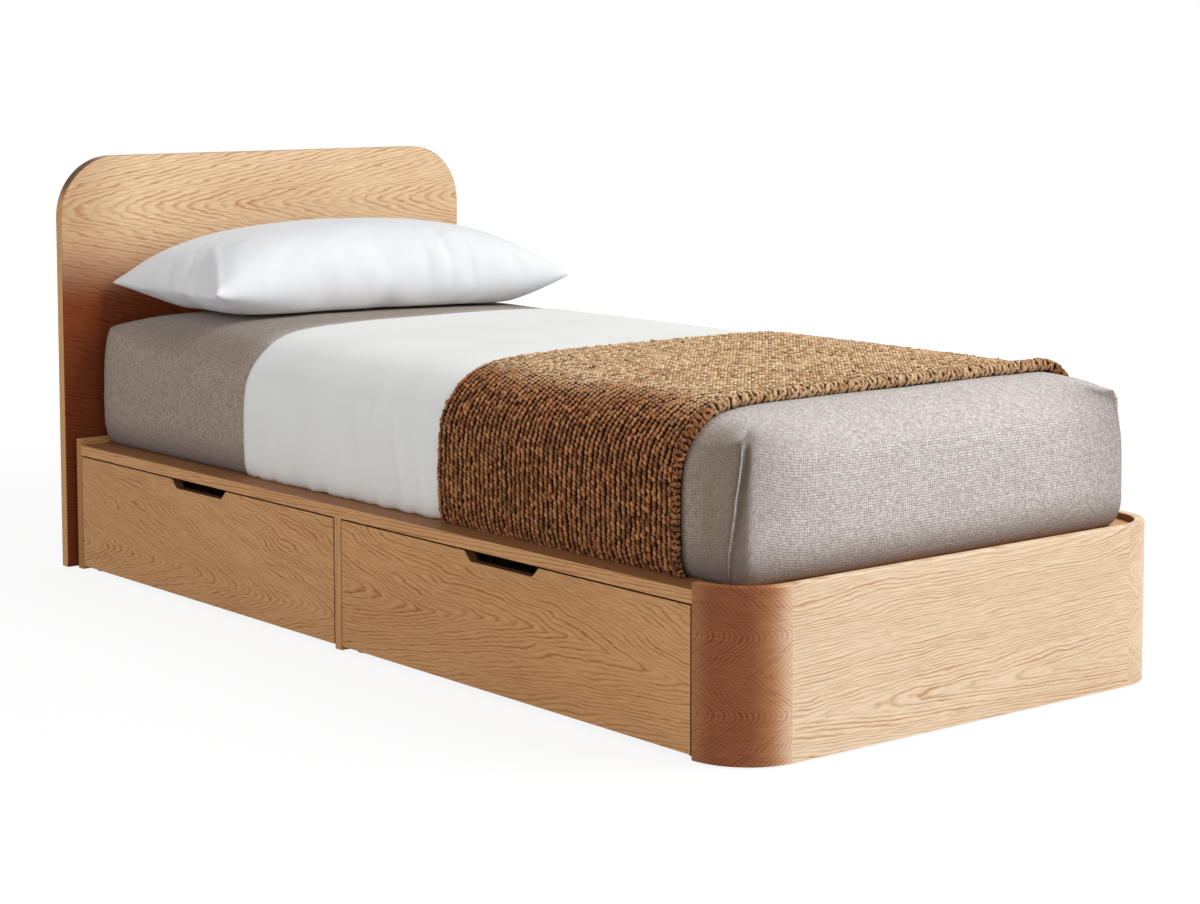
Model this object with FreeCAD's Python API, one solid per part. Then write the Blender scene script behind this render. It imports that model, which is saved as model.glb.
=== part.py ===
import FreeCAD, Part
import math
import os

os.makedirs("parts", exist_ok=True)

# Single bed with two drawers in one long side, in millimetres.
# The floor is z = 0, the foot end faces -Y and the drawers open towards -X.
# The origin lies on the floor under the middle of the whole bed.

# Base: a box of veneered panels that stands on levelling feet
base_width = 1020.0
base_length = 2080.0
floor_gap = 3.0
end_height = 280.0
panel_thickness = 20.0
deck_thickness = 22.0
deck_drop = 12.0
edge_softening = 1.2

# Footboard: one bent panel that wraps both foot corners
footboard_thickness = 18.0
footboard_corner_radius = 110.0
footboard_bevel = 1.6

# Headboard: a free panel, wider than the base, held off it by two battens
headboard_width = 1050.0
headboard_height = 882.0
headboard_thickness = 26.0
headboard_corner_radius = 130.0
headboard_bevel = 1.6
batten_thickness = 20.0
batten_width = 70.0
batten_height = 200.0
batten_spread_share = 0.6

# Deck: side rails with a rebate that carries the slats
deck_rail_width = 110.0
head_rail_width = 60.0
slat_count = 14
slat_width = 72.0
slat_thickness = 12.0
slat_seat = 22.0
slat_end_gap = 2.0

# Levelling feet and the blocks that they screw into
foot_pad_radius = 20.0
foot_pad_height = 9.0
foot_stem_radius = 4.0
foot_stem_in_block = 20.0
foot_block_lift = 5.0
foot_block_side = 50.0
foot_block_height = 28.0

# Drawer boxes and their fronts
front_thickness = 18.0
front_gap = 3.0
front_floor_gap = 8.0
notch_width = 205.0
notch_base_width = 171.0
notch_depth = 17.0
notch_radius = 8.0
notch_lip_radius = 5.0
box_board = 12.0
box_height = 160.0
box_floor_clearance = 4.0
finger_dip_width = 280.0
finger_dip_depth = 45.0
finger_dip_radius = 30.0
drawer_floor_thickness = 6.0
drawer_floor_lift = 8.0
drawer_groove = 5.0
drawer_back_space = 80.0

# Roller runners: folded steel, one nylon roller on each half
runner_length = 500.0
runner_sheet = 1.2
roller_radius = 10.0
roller_width = 5.5
roller_side_gap = 0.3
roller_lift = 0.2
roller_bore_gap = 0.06
roller_pin_radius = 2.5
roller_pin_head_radius = 4.2
roller_pin_head = 0.8
front_roller_setback = 16.0
rear_roller_setback = 22.0
runner_play = 1.8
runner_edge_gap = 0.8
carrying_flange_gap = 3.0
entry_length = 40.0
runner_setback = 2.0
drawer_runner_setback = 6.0
runner_drop = 2.0

# Screws, bolts and dowels
hole_gap = 0.15
joint_gap = 0.2
runner_screw_radius = 1.7
runner_screw_head_radius = 3.4
runner_screw_head = 1.4
runner_screw_bite_share = 0.44
runner_screw_places_share = (0.2, 0.8)
fastener_sides = 8
front_screw_radius = 2.0
front_screw_head_radius = 4.0
front_screw_head = 2.4
front_screw_bite = 12.0
frame_bolt_radius = 4.0
frame_bolt_head_radius = 7.5
frame_bolt_head = 5.0
headboard_bolt_bite = 18.0
footboard_bolt_bite = 12.0
frame_bolt_rows_share = (0.2, 0.75)
spacer_width = 60.0
spacer_places_share = (-0.3, 0.0, 0.3)
dowel_radius = 4.0
dowel_in_rail = 12.0
dowel_in_panel = 18.0

# Mattress and bedding
mattress_ledge = 50.0
mattress_foot_gap = 29.0
mattress_side = 228.0
mattress_crown = 58.0
mattress_corner_radius = 55.0
mattress_head_gap = 3.0
cloth_gap = 0.4
sheet_thickness = 2.6
throw_thickness = 11.0
cloth_floor_gap = 1.0
sheet_head_edge = 1481.0
sheet_foot_edge = 205.0
throw_head_edge = 832.0
throw_foot_edge = 182.0
pillow_length = 770.0
pillow_depth = 480.0
pillow_thickness = 168.0
pillow_tilt_degrees = 7.0
pillow_turn_degrees = -6.0
pillow_from_head = 257.0
pillow_off_centre = -18.0

# Planes that the pieces share
drawer_side = -base_width / 2
hidden_side = base_width / 2
base_foot = -(base_length + batten_thickness + headboard_thickness) / 2
base_head = base_foot + base_length
head_panel_inside = base_head - panel_thickness
footboard_end = base_foot + footboard_corner_radius
deck_top = floor_gap + end_height - deck_drop
deck_under = deck_top - deck_thickness
slat_under = deck_top - slat_thickness
side_inside = hidden_side - footboard_thickness
box_front = drawer_side + front_thickness
box_rear = box_front + box_board + runner_length
partition_front = box_rear + drawer_back_space
partition_rear = partition_front + panel_thickness
opening_width = (head_panel_inside - footboard_end - panel_thickness) / 2
divider_foot_face = footboard_end + opening_width
divider_head_face = divider_foot_face + panel_thickness
foot_block_floor = foot_pad_height + foot_block_lift
box_floor = foot_block_floor + foot_block_height + box_floor_clearance
box_top = box_floor + box_height
channel_floor = box_floor + runner_drop
channel_inside = 2 * roller_radius + 3 * roller_lift + runner_sheet + 2 * roller_lift
carrying_flange = channel_floor + 2 * roller_radius + 3 * roller_lift
runner_screw_length = runner_screw_bite_share * panel_thickness
runner_space = (
    2 * runner_sheet + runner_screw_head + runner_play + roller_pin_head
    + 2 * roller_side_gap + roller_width
)


def block(low_x, high_x, low_y, high_y, low_z, high_z):
    """A board between two corners."""
    corner = FreeCAD.Vector(low_x, low_y, low_z)
    return Part.makeBox(high_x - low_x, high_y - low_y, high_z - low_z, corner)


def rod(radius, start, end):
    """A round bar from one point to another."""
    along = end.sub(start)
    return Part.makeCylinder(radius, along.Length, start, along)


def stud(radius, start, end):
    """A fastener's shank, head or hole: a prism with a few flats inside the round."""
    along = end.sub(start)
    turn = FreeCAD.Rotation(FreeCAD.Vector(0, 0, 1), along)
    rim = []
    for side in range(fastener_sides):
        angle = 2 * math.pi * side / fastener_sides
        spoke = FreeCAD.Vector(radius * math.cos(angle), radius * math.sin(angle), 0)
        rim.append(start.add(turn.multVec(spoke)))
    return Part.Face(Part.makePolygon(rim + rim[:1])).extrude(along)


def outline(corners, place):
    """A closed wire of straight runs; each corner (u, v, radius) is rounded by its own arc."""
    points = [FreeCAD.Vector(u, v, 0) for u, v, radius in corners]
    stops = []
    for index, corner in enumerate(points):
        back = points[index - 1].sub(corner).normalize()
        ahead = points[(index + 1) % len(points)].sub(corner).normalize()
        radius = corners[index][2]
        half_angle = back.getAngle(ahead) / 2
        inward = back.add(ahead)
        if radius > 0:
            inward.normalize()
            reach = radius / math.tan(half_angle)
            dip = radius / math.sin(half_angle) - radius
            stops.append((corner.add(back * reach), corner.add(inward * dip), corner.add(ahead * reach)))
        else:
            stops.append((corner, corner, corner))
    edges = []
    for index, (start, middle, end) in enumerate(stops):
        if start.distanceToPoint(end) > 0:
            edges.append(Part.Arc(*[place(p.x, p.y) for p in (start, middle, end)]).toShape())
        onward = stops[(index + 1) % len(stops)][0]
        if end.distanceToPoint(onward) > joint_gap / 1000:
            edges.append(Part.LineSegment(place(end.x, end.y), place(onward.x, onward.y)).toShape())
    return Part.Wire(edges)


def plate(corners, place, along):
    """A solid of one outline pushed along a vector."""
    return Part.Face(outline(corners, place)).extrude(along)


def across_x(x):
    return lambda u, v: FreeCAD.Vector(x, u, v)


def across_y(y):
    return lambda u, v: FreeCAD.Vector(u, y, v)


def across_z(z):
    return lambda u, v: FreeCAD.Vector(u, v, z)


def save(name, solids):
    """One file for each kind of piece; a group keeps its pieces as separate solids."""
    shape = solids[0] if len(solids) == 1 else Part.makeCompound(solids)
    shape.exportStep(f"parts/{name}.step")


def softened(solid, radius, wanted):
    """Rounds the edges that the test picks."""
    return solid.makeFillet(radius, [edge for edge in solid.Edges if wanted(edge)])


def bevelled(solid, width, wanted):
    """Bevels the edges that the test picks."""
    return solid.makeChamfer(width, [edge for edge in solid.Edges if wanted(edge)])


def level_edge(height):
    """Picks the edges that lie level at one height."""
    return lambda edge: max(abs(v.Z - height) for v in edge.Vertexes) < joint_gap / 2


def drilled(solid, holes):
    """Cuts each hole out of a solid."""
    for hole in holes:
        solid = solid.cut(hole)
    return solid


# Frame bolts: pan head against the inner face, shank along Y into the board at the end
def frame_bolt(x, z, face, direction, reach, extra=0):
    head_end = FreeCAD.Vector(x, face - direction * frame_bolt_head, z)
    face_point = FreeCAD.Vector(x, face, z)
    tip = FreeCAD.Vector(x, face + direction * (reach + extra), z)
    return head_end, face_point, tip


def bolt_solid(x, z, face, direction, reach):
    head_end, face_point, tip = frame_bolt(x, z, face, direction, reach)
    head = stud(frame_bolt_head_radius, head_end, face_point)
    return head.fuse(stud(frame_bolt_radius, face_point, tip)).removeSplitter()


def bolt_hole(x, z, face, direction, reach):
    head_end, face_point, tip = frame_bolt(x, z, face, direction, reach, hole_gap)
    return stud(frame_bolt_radius + hole_gap, head_end, tip)


bolt_band_floor = channel_floor + channel_inside + runner_sheet
bolt_heights = [bolt_band_floor + share * (deck_under - bolt_band_floor) for share in frame_bolt_rows_share]
batten_spread = batten_spread_share * headboard_width
batten_centres = [-batten_spread / 2, batten_spread / 2]
headboard_reach = panel_thickness + batten_thickness + headboard_bolt_bite
headboard_front = base_head + batten_thickness
headboard_holes = [
    bolt_hole(x, z, head_panel_inside, 1, headboard_reach) for x in batten_centres for z in bolt_heights
]
save("headboard_bolts", [
    bolt_solid(x, z, head_panel_inside, 1, headboard_reach) for x in batten_centres for z in bolt_heights
])

# Headboard: a flat oak panel with two large rounded top corners
headboard_top = floor_gap + headboard_height
headboard = plate(
    [
        (-headboard_width / 2, floor_gap, 0),
        (headboard_width / 2, floor_gap, 0),
        (headboard_width / 2, headboard_top, headboard_corner_radius),
        (-headboard_width / 2, headboard_top, headboard_corner_radius),
    ],
    across_y(headboard_front),
    FreeCAD.Vector(0, headboard_thickness, 0),
)
headboard = bevelled(
    headboard,
    headboard_bevel,
    lambda edge: edge.BoundBox.YLength < joint_gap and edge.CenterOfMass.z > floor_gap + joint_gap,
)
save("headboard", [drilled(headboard, headboard_holes)])

# Battens: two upright spacers that leave the shadow gap behind the base
batten_floor = deck_under - batten_height
battens = []
for x in batten_centres:
    batten = block(
        x - batten_width / 2, x + batten_width / 2, base_head, headboard_front, batten_floor, deck_under
    )
    battens.append(drilled(batten, headboard_holes))
save("headboard_battens", battens)

# Head end panel: its top edge stands above the deck and stops the mattress
head_panel = block(drawer_side, hidden_side, head_panel_inside, base_head, floor_gap, floor_gap + end_height)
head_panel = softened(head_panel, edge_softening, level_edge(floor_gap + end_height))
head_panel = drilled(head_panel, headboard_holes)

# Spacers between the foot end panel and the bent footboard, one bolt pair each
foot_panel_front = footboard_end - panel_thickness
footboard_inside = base_foot + footboard_thickness
spacer_centres = [share * base_width for share in spacer_places_share]
footboard_reach = footboard_end - footboard_inside + footboard_bolt_bite
footboard_holes = [
    bolt_hole(x, z, footboard_end, -1, footboard_reach) for x in spacer_centres for z in bolt_heights
]
save("footboard_bolts", [
    bolt_solid(x, z, footboard_end, -1, footboard_reach) for x in spacer_centres for z in bolt_heights
])
spacers = []
for x in spacer_centres:
    spacer = block(
        x - spacer_width / 2, x + spacer_width / 2, footboard_inside, foot_panel_front, floor_gap, deck_under
    )
    spacers.append(drilled(spacer, footboard_holes))
save("footboard_spacers", spacers)


# Footboard: a bent panel, both returns ending in line with the drawer opening
def wrapped_plan(inset, height, rear):
    """The plan inside the footboard's outer face, drawn in by an inset, up to a rear line."""
    radius = footboard_corner_radius - inset
    return plate(
        [
            (drawer_side + inset, base_foot + inset, radius),
            (hidden_side - inset, base_foot + inset, radius),
            (hidden_side - inset, rear, 0),
            (drawer_side + inset, rear, 0),
        ],
        across_z(floor_gap),
        FreeCAD.Vector(0, 0, height),
    )


rear_overrun = footboard_end + panel_thickness
footboard = wrapped_plan(0, end_height, rear_overrun)
footboard = footboard.cut(wrapped_plan(footboard_thickness, end_height, rear_overrun))
footboard = footboard.cut(
    block(drawer_side, hidden_side, footboard_end, rear_overrun, floor_gap, floor_gap + end_height)
)
footboard = bevelled(
    footboard,
    footboard_bevel,
    lambda edge: level_edge(floor_gap + end_height)(edge) and edge.CenterOfMass.y < footboard_end - joint_gap,
)
save("footboard", [drilled(footboard, footboard_holes)])

# Foot end panel and foot deck board: both fit inside the bent footboard
foot_bay = wrapped_plan(footboard_thickness + joint_gap, end_height, footboard_end)
foot_panel = foot_bay.common(
    block(drawer_side, hidden_side, foot_panel_front, footboard_end, floor_gap, deck_under)
)
foot_deck = foot_bay.common(
    block(drawer_side, hidden_side, footboard_inside, footboard_end, deck_under, deck_top)
)
save("foot_deck_board", [foot_deck])

# Dowels stand in the top edges of the cross panels and locate the deck rails
hidden_rail_inside = hidden_side - deck_rail_width
dowel_places = []
for y in (divider_foot_face + panel_thickness / 2,):
    dowel_places.append((drawer_side + deck_rail_width / 3, y))
    dowel_places.append((drawer_side + 2 * deck_rail_width / 3, y))
    dowel_places.append((hidden_side - deck_rail_width / 3, y))
    dowel_places.append((hidden_side - 2 * deck_rail_width / 3, y))


def dowel(x, y, gap):
    low = FreeCAD.Vector(x, y, deck_under - dowel_in_panel - gap)
    high = FreeCAD.Vector(x, y, deck_under + dowel_in_rail + gap)
    return stud(dowel_radius + gap, low, high)


dowel_holes = [dowel(x, y, hole_gap) for x, y in dowel_places]
save("deck_dowels", [dowel(x, y, 0) for x, y in dowel_places])

# Drawer divider and the divider of the closed bay behind the drawers
divider = block(drawer_side, partition_front, divider_foot_face, divider_head_face, floor_gap, deck_under)
save("hidden_bay_divider", [drilled(
    block(partition_rear, side_inside, divider_foot_face, divider_head_face, floor_gap, deck_under),
    dowel_holes,
)])

# Long partition: closes the drawer bays and carries the slats at mid width
head_rail_front = head_panel_inside - head_rail_width
partition = block(partition_front, partition_rear, footboard_end, head_panel_inside, floor_gap, deck_under)
partition_top = block(
    partition_front, partition_rear, footboard_end, head_rail_front, deck_under, slat_under
)
save("long_partition", [partition.fuse(partition_top).removeSplitter()])

# Hidden side panel: plain, between the footboard's return and the head end panel
save("hidden_side_panel", [
    block(side_inside, hidden_side, footboard_end, head_panel_inside, floor_gap, deck_under)
])

# Deck rails, each with a rebate along its inner edge for the slat ends
rail_inside = drawer_side + deck_rail_width
drawer_rail = block(drawer_side, rail_inside, footboard_end, head_panel_inside, deck_under, deck_top)
drawer_rail = drawer_rail.cut(
    block(rail_inside - slat_seat, rail_inside, footboard_end, head_rail_front, slat_under, deck_top)
)
drawer_rail = softened(
    drawer_rail,
    edge_softening,
    lambda edge: level_edge(deck_top)(edge) and edge.CenterOfMass.x < drawer_side + joint_gap,
)
save("drawer_side_deck_rail", [drilled(drawer_rail, dowel_holes)])
hidden_rail = block(hidden_rail_inside, hidden_side, footboard_end, head_panel_inside, deck_under, deck_top)
hidden_rail = hidden_rail.cut(
    block(
        hidden_rail_inside, hidden_rail_inside + slat_seat, footboard_end, head_rail_front,
        slat_under, deck_top,
    )
)
hidden_rail = softened(
    hidden_rail,
    edge_softening,
    lambda edge: level_edge(deck_top)(edge) and edge.CenterOfMass.x > hidden_side - joint_gap,
)
save("hidden_side_deck_rail", [drilled(hidden_rail, dowel_holes)])
save("head_deck_rail", [
    block(rail_inside, hidden_rail_inside, head_rail_front, head_panel_inside, deck_under, deck_top)
])

# Slats: level with the deck, their ends in the rebates and their middles on the partition
slat_low_x = rail_inside - slat_seat + slat_end_gap
slat_high_x = hidden_rail_inside + slat_seat - slat_end_gap
slat_pitch = (head_rail_front - footboard_end) / slat_count
slats = []
for number in range(slat_count):
    middle = footboard_end + (number + 0.5) * slat_pitch
    slats.append(block(
        slat_low_x, slat_high_x, middle - slat_width / 2, middle + slat_width / 2, slat_under, deck_top
    ))
save("slats", slats)

# Levelling feet: a black pad on a threaded stem, in a block glued in each corner
block_columns = [
    (drawer_side + footboard_thickness + joint_gap, 1),
    (partition_front, -1),
    (side_inside, -1),
]
block_rows = [(footboard_end, 1), (divider_foot_face, -1), (head_panel_inside, -1)]
foot_blocks = []
feet = []
for column_x, into_x in block_columns:
    for row_y, into_y in block_rows:
        low_x = min(column_x, column_x + into_x * foot_block_side)
        low_y = min(row_y, row_y + into_y * foot_block_side)
        body = block(
            low_x, low_x + foot_block_side, low_y, low_y + foot_block_side,
            foot_block_floor, foot_block_floor + foot_block_height,
        )
        x = low_x + foot_block_side / 2
        y = low_y + foot_block_side / 2
        stem_top = foot_block_floor + foot_stem_in_block
        hole = stud(
            foot_stem_radius + hole_gap,
            FreeCAD.Vector(x, y, foot_pad_height),
            FreeCAD.Vector(x, y, stem_top + hole_gap),
        )
        foot_blocks.append(body.cut(hole))
        pad = rod(foot_pad_radius, FreeCAD.Vector(x, y, 0), FreeCAD.Vector(x, y, foot_pad_height))
        stem = stud(
            foot_stem_radius, FreeCAD.Vector(x, y, foot_pad_height), FreeCAD.Vector(x, y, stem_top)
        )
        feet.append(pad.fuse(stem))
save("foot_blocks", foot_blocks)
save("adjustable_feet", feet)


# Roller runners. Each half is folded sheet; "face" is the panel's or the box's surface and
# "inward" points along Y from the cabinet panel towards the drawer.
def folded(points, face, inward, start_x, length):
    """A folded sheet section, drawn as (distance from the panel, height), run along X."""
    corners = [(face + inward * out, height, 0) for out, height in points]
    return plate(corners, across_x(start_x), FreeCAD.Vector(length, 0, 0))


cabinet_runner_start = box_front + runner_setback
drawer_runner_start = box_front + drawer_runner_setback
channel_reach = runner_space - runner_sheet - runner_edge_gap
channel_ceiling = channel_floor + channel_inside


def cabinet_runner(face, inward):
    """A channel, its top flange cut back at the front so that the drawer drops in."""
    section = [
        (0, channel_floor - runner_sheet),
        (channel_reach, channel_floor - runner_sheet),
        (channel_reach, channel_floor),
        (runner_sheet, channel_floor),
        (runner_sheet, channel_ceiling),
        (channel_reach, channel_ceiling),
        (channel_reach, channel_ceiling + runner_sheet),
        (0, channel_ceiling + runner_sheet),
    ]
    channel = folded(section, face, inward, cabinet_runner_start, runner_length)
    entry = folded(
        [
            (runner_sheet, channel_ceiling),
            (runner_space, channel_ceiling),
            (runner_space, channel_ceiling + 2 * runner_sheet),
            (runner_sheet, channel_ceiling + 2 * runner_sheet),
        ],
        face, inward, cabinet_runner_start, entry_length,
    )
    rear_stop = folded(
        [
            (0, channel_floor - runner_sheet),
            (channel_reach, channel_floor - runner_sheet),
            (channel_reach, channel_ceiling - runner_sheet - 2 * roller_lift),
            (0, channel_ceiling - runner_sheet - 2 * roller_lift),
        ],
        face, inward, cabinet_runner_start + runner_length - runner_sheet, runner_sheet,
    )
    return channel.cut(entry).fuse(rear_stop).removeSplitter()


def drawer_runner(face, inward):
    """An angle under the box side, with an outward flange that rides on the front roller."""
    web_inside = runner_space - runner_sheet
    section = [
        (carrying_flange_gap, carrying_flange),
        (web_inside, carrying_flange),
        (web_inside, box_floor - runner_sheet),
        (runner_space + box_board, box_floor - runner_sheet),
        (runner_space + box_board, box_floor),
        (runner_space, box_floor),
        (runner_space, carrying_flange + runner_sheet),
        (carrying_flange_gap, carrying_flange + runner_sheet),
    ]
    angle = folded(section, face, inward, drawer_runner_start, runner_length)
    rear_trim = folded(
        [
            (0, carrying_flange - joint_gap),
            (web_inside, carrying_flange - joint_gap),
            (web_inside, carrying_flange + 2 * runner_sheet),
            (0, carrying_flange + 2 * runner_sheet),
        ],
        face, inward,
        drawer_runner_start + runner_length - runner_sheet - joint_gap - drawer_runner_setback,
        runner_sheet + joint_gap + 2 * drawer_runner_setback,
    )
    return angle.cut(rear_trim)


def pair_of_points(x, z, face, inward, near, far):
    near_point = FreeCAD.Vector(x, face + inward * near, z)
    far_point = FreeCAD.Vector(x, face + inward * far, z)
    return near_point, far_point


def roller(x, z, face, inward, near, far):
    wheel = rod(roller_radius, *pair_of_points(x, z, face, inward, near, far))
    bore_radius = roller_pin_radius + roller_bore_gap
    return wheel.cut(rod(bore_radius, *pair_of_points(x, z, face, inward, near, far)))


def roller_pin(x, z, face, inward, root, far, head_end):
    shank = rod(roller_pin_radius, *pair_of_points(x, z, face, inward, root, far))
    head = rod(roller_pin_head_radius, *pair_of_points(x, z, face, inward, far, head_end))
    return shank.fuse(head).removeSplitter()


def runner_screw(x, z, face, inward, web, head_end, tip):
    head = stud(runner_screw_head_radius, *pair_of_points(x, z, face, inward, web, head_end))
    shank = stud(runner_screw_radius, *pair_of_points(x, z, face, inward, web, tip))
    return head.fuse(shank).removeSplitter()


front_roller_x = cabinet_runner_start + front_roller_setback
front_roller_z = channel_floor + roller_radius + 2 * roller_lift
front_roller_near = runner_sheet + roller_side_gap
front_roller_far = front_roller_near + roller_width
rear_roller_x = drawer_runner_start + runner_length - rear_roller_setback
rear_roller_z = channel_floor + roller_radius + roller_lift
rear_roller_far = runner_space - runner_sheet - roller_side_gap
rear_roller_near = rear_roller_far - roller_width
runner_screw_z = channel_floor + channel_inside / 2
cabinet_screw_places = [cabinet_runner_start + share * runner_length for share in runner_screw_places_share]
drawer_screw_places = [drawer_runner_start + share * runner_length for share in runner_screw_places_share]

front_roller_pins = []
cabinet_screws = []
cabinet_screw_holes = []


def fit_cabinet_runner(name, faces):
    """The fixed half of one drawer's runners: channels, rollers, pins and screws."""
    channels = []
    rollers = []
    for face, inward in faces:
        channel = cabinet_runner(face, inward)
        for x in cabinet_screw_places:
            near, far = pair_of_points(
                x, runner_screw_z, face, inward, -runner_screw_length - hole_gap, runner_sheet
            )
            hole = stud(runner_screw_radius + hole_gap, near, far)
            channel = channel.cut(hole)
            cabinet_screw_holes.append(hole)
            cabinet_screws.append(runner_screw(
                x, runner_screw_z, face, inward, runner_sheet,
                runner_sheet + runner_screw_head, -runner_screw_length,
            ))
        channels.append(channel)
        rollers.append(roller(
            front_roller_x, front_roller_z, face, inward, front_roller_near, front_roller_far
        ))
        front_roller_pins.append(roller_pin(
            front_roller_x, front_roller_z, face, inward, runner_sheet,
            front_roller_far + roller_side_gap, front_roller_far + roller_side_gap + roller_pin_head,
        ))
    save(f"{name}_cabinet_runners", channels)
    save(f"{name}_front_rollers", rollers)


def notched_front(low_y, high_y):
    """The visible front: a finger notch with rounded corners in the middle of its top edge."""
    middle = (low_y + high_y) / 2
    top = deck_under - front_gap
    bottom = floor_gap + front_floor_gap
    return plate(
        [
            (low_y, bottom, 0),
            (high_y, bottom, 0),
            (high_y, top, 0),
            (middle + notch_width / 2, top, notch_lip_radius),
            (middle + notch_base_width / 2, top - notch_depth, notch_radius),
            (middle - notch_base_width / 2, top - notch_depth, notch_radius),
            (middle - notch_width / 2, top, notch_lip_radius),
            (low_y, top, 0),
        ],
        across_x(drawer_side),
        FreeCAD.Vector(front_thickness, 0, 0),
    )


def fit_drawer(name, opening_foot, opening_head):
    """One drawer: front, box, moving runner halves and their rollers and screws."""
    low_y = opening_foot + runner_space
    high_y = opening_head - runner_space
    middle = (opening_foot + opening_head) / 2
    side_start = box_front + box_board
    floor_low = box_floor + drawer_floor_lift
    floor_high = floor_low + drawer_floor_thickness
    back_front = box_rear - box_board
    groove = block(
        side_start - drawer_groove, back_front + drawer_groove,
        low_y + box_board - drawer_groove, high_y - box_board + drawer_groove, floor_low, floor_high,
    )
    front_screw_rows = [box_floor + box_height / 4, box_floor + box_height / 2]
    screw_columns = [middle - opening_width / 3, middle + opening_width / 3]
    screws = []
    screw_holes = []
    for y in screw_columns:
        for z in front_screw_rows:
            head_end = FreeCAD.Vector(side_start + front_screw_head, y, z)
            seat = FreeCAD.Vector(side_start, y, z)
            tip = FreeCAD.Vector(box_front - front_screw_bite, y, z)
            deep = FreeCAD.Vector(box_front - front_screw_bite - hole_gap, y, z)
            screws.append(
                stud(front_screw_head_radius, head_end, seat).fuse(stud(front_screw_radius, seat, tip))
            )
            screw_holes.append(stud(front_screw_radius + hole_gap, seat, deep))
    save(f"{name}_front_screws", screws)
    front = notched_front(opening_foot + front_gap, opening_head - front_gap)
    save(f"{name}_front", [drilled(front, screw_holes)])

    inner_front = plate(
        [
            (low_y, box_floor, 0),
            (high_y, box_floor, 0),
            (high_y, box_top, 0),
            (middle + finger_dip_width / 2, box_top, finger_dip_radius / 2),
            (middle + finger_dip_width / 2 - finger_dip_depth, box_top - finger_dip_depth, finger_dip_radius),
            (middle - finger_dip_width / 2 + finger_dip_depth, box_top - finger_dip_depth, finger_dip_radius),
            (middle - finger_dip_width / 2, box_top, finger_dip_radius / 2),
            (low_y, box_top, 0),
        ],
        across_x(box_front),
        FreeCAD.Vector(box_board, 0, 0),
    )
    save(f"{name}_inner_front", [drilled(inner_front.cut(groove), screw_holes)])

    runners = []
    rollers = []
    pins = []
    runner_screws = []
    sides = []
    for face, inward, side_low in (
        (opening_foot, 1, low_y),
        (opening_head, -1, high_y - box_board),
    ):
        side = block(side_start, box_rear, side_low, side_low + box_board, box_floor, box_top).cut(groove)
        angle = drawer_runner(face, inward)
        for x in drawer_screw_places:
            web_near = runner_space - runner_sheet
            tip = runner_space + box_board / 2
            near, far = pair_of_points(x, runner_screw_z, face, inward, web_near, tip + hole_gap)
            hole = stud(runner_screw_radius + hole_gap, near, far)
            side = side.cut(hole)
            angle = angle.cut(hole)
            runner_screws.append(runner_screw(
                x, runner_screw_z, face, inward, web_near, web_near - runner_screw_head, tip,
            ))
        sides.append(side)
        runners.append(angle)
        rollers.append(roller(rear_roller_x, rear_roller_z, face, inward, rear_roller_near, rear_roller_far))
        pins.append(roller_pin(
            rear_roller_x, rear_roller_z, face, inward, runner_space - runner_sheet,
            rear_roller_near - roller_side_gap, rear_roller_near - roller_side_gap - roller_pin_head,
        ))
    save(f"{name}_foot_side", [sides[0]])
    save(f"{name}_head_side", [sides[1]])
    save(f"{name}_box_runners", runners)
    save(f"{name}_rear_rollers", rollers)
    save(f"{name}_rear_roller_pins", pins)
    save(f"{name}_runner_screws", runner_screws)

    back = block(back_front, box_rear, low_y + box_board, high_y - box_board, box_floor, box_top)
    save(f"{name}_back", [back.cut(groove)])
    save(f"{name}_bottom", [block(
        side_start - drawer_groove + joint_gap, back_front + drawer_groove - joint_gap,
        low_y + box_board - drawer_groove + joint_gap, high_y - box_board + drawer_groove - joint_gap,
        floor_low, floor_high,
    )])


drawer_bays = {
    "foot_drawer": (footboard_end, divider_foot_face),
    "head_drawer": (divider_head_face, head_panel_inside),
}
for drawer_name, (bay_foot, bay_head) in drawer_bays.items():
    fit_cabinet_runner(drawer_name, [(bay_foot, 1), (bay_head, -1)])
    fit_drawer(drawer_name, bay_foot, bay_head)

save("front_roller_pins", front_roller_pins)
save("cabinet_runner_screws", cabinet_screws)
save("foot_end_panel", [drilled(foot_panel, footboard_holes + cabinet_screw_holes)])
save("drawer_divider", [drilled(divider, dowel_holes + cabinet_screw_holes)])
save("head_end_panel", [drilled(head_panel, cabinet_screw_holes)])

# Mattress in its fitted sheet: drawn in at the foot of its sides, crowned on top
mattress_head = head_panel_inside - mattress_head_gap
mattress_foot = footboard_inside + mattress_foot_gap
mattress_length = mattress_head - mattress_foot
mattress_middle = mattress_head - mattress_length / 2
mattress_width = base_width - 2 * mattress_ledge
# Each level: share of the side's height, share of the crown, draw-in as a share of the half width
mattress_level_shares = (
    (0.00, 0.00, 0.035),
    (0.06, 0.00, 0.016),
    (0.16, 0.00, 0.005),
    (0.50, 0.00, 0.000),
    (0.85, 0.00, 0.004),
    (0.95, 0.00, 0.014),
    (1.00, 0.06, 0.032),
    (1.00, 0.25, 0.064),
    (1.00, 0.46, 0.112),
    (1.00, 0.66, 0.190),
    (1.00, 0.82, 0.290),
    (1.00, 0.94, 0.430),
    (1.00, 1.00, 0.630),
)
corner_growth_share = 0.22


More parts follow.
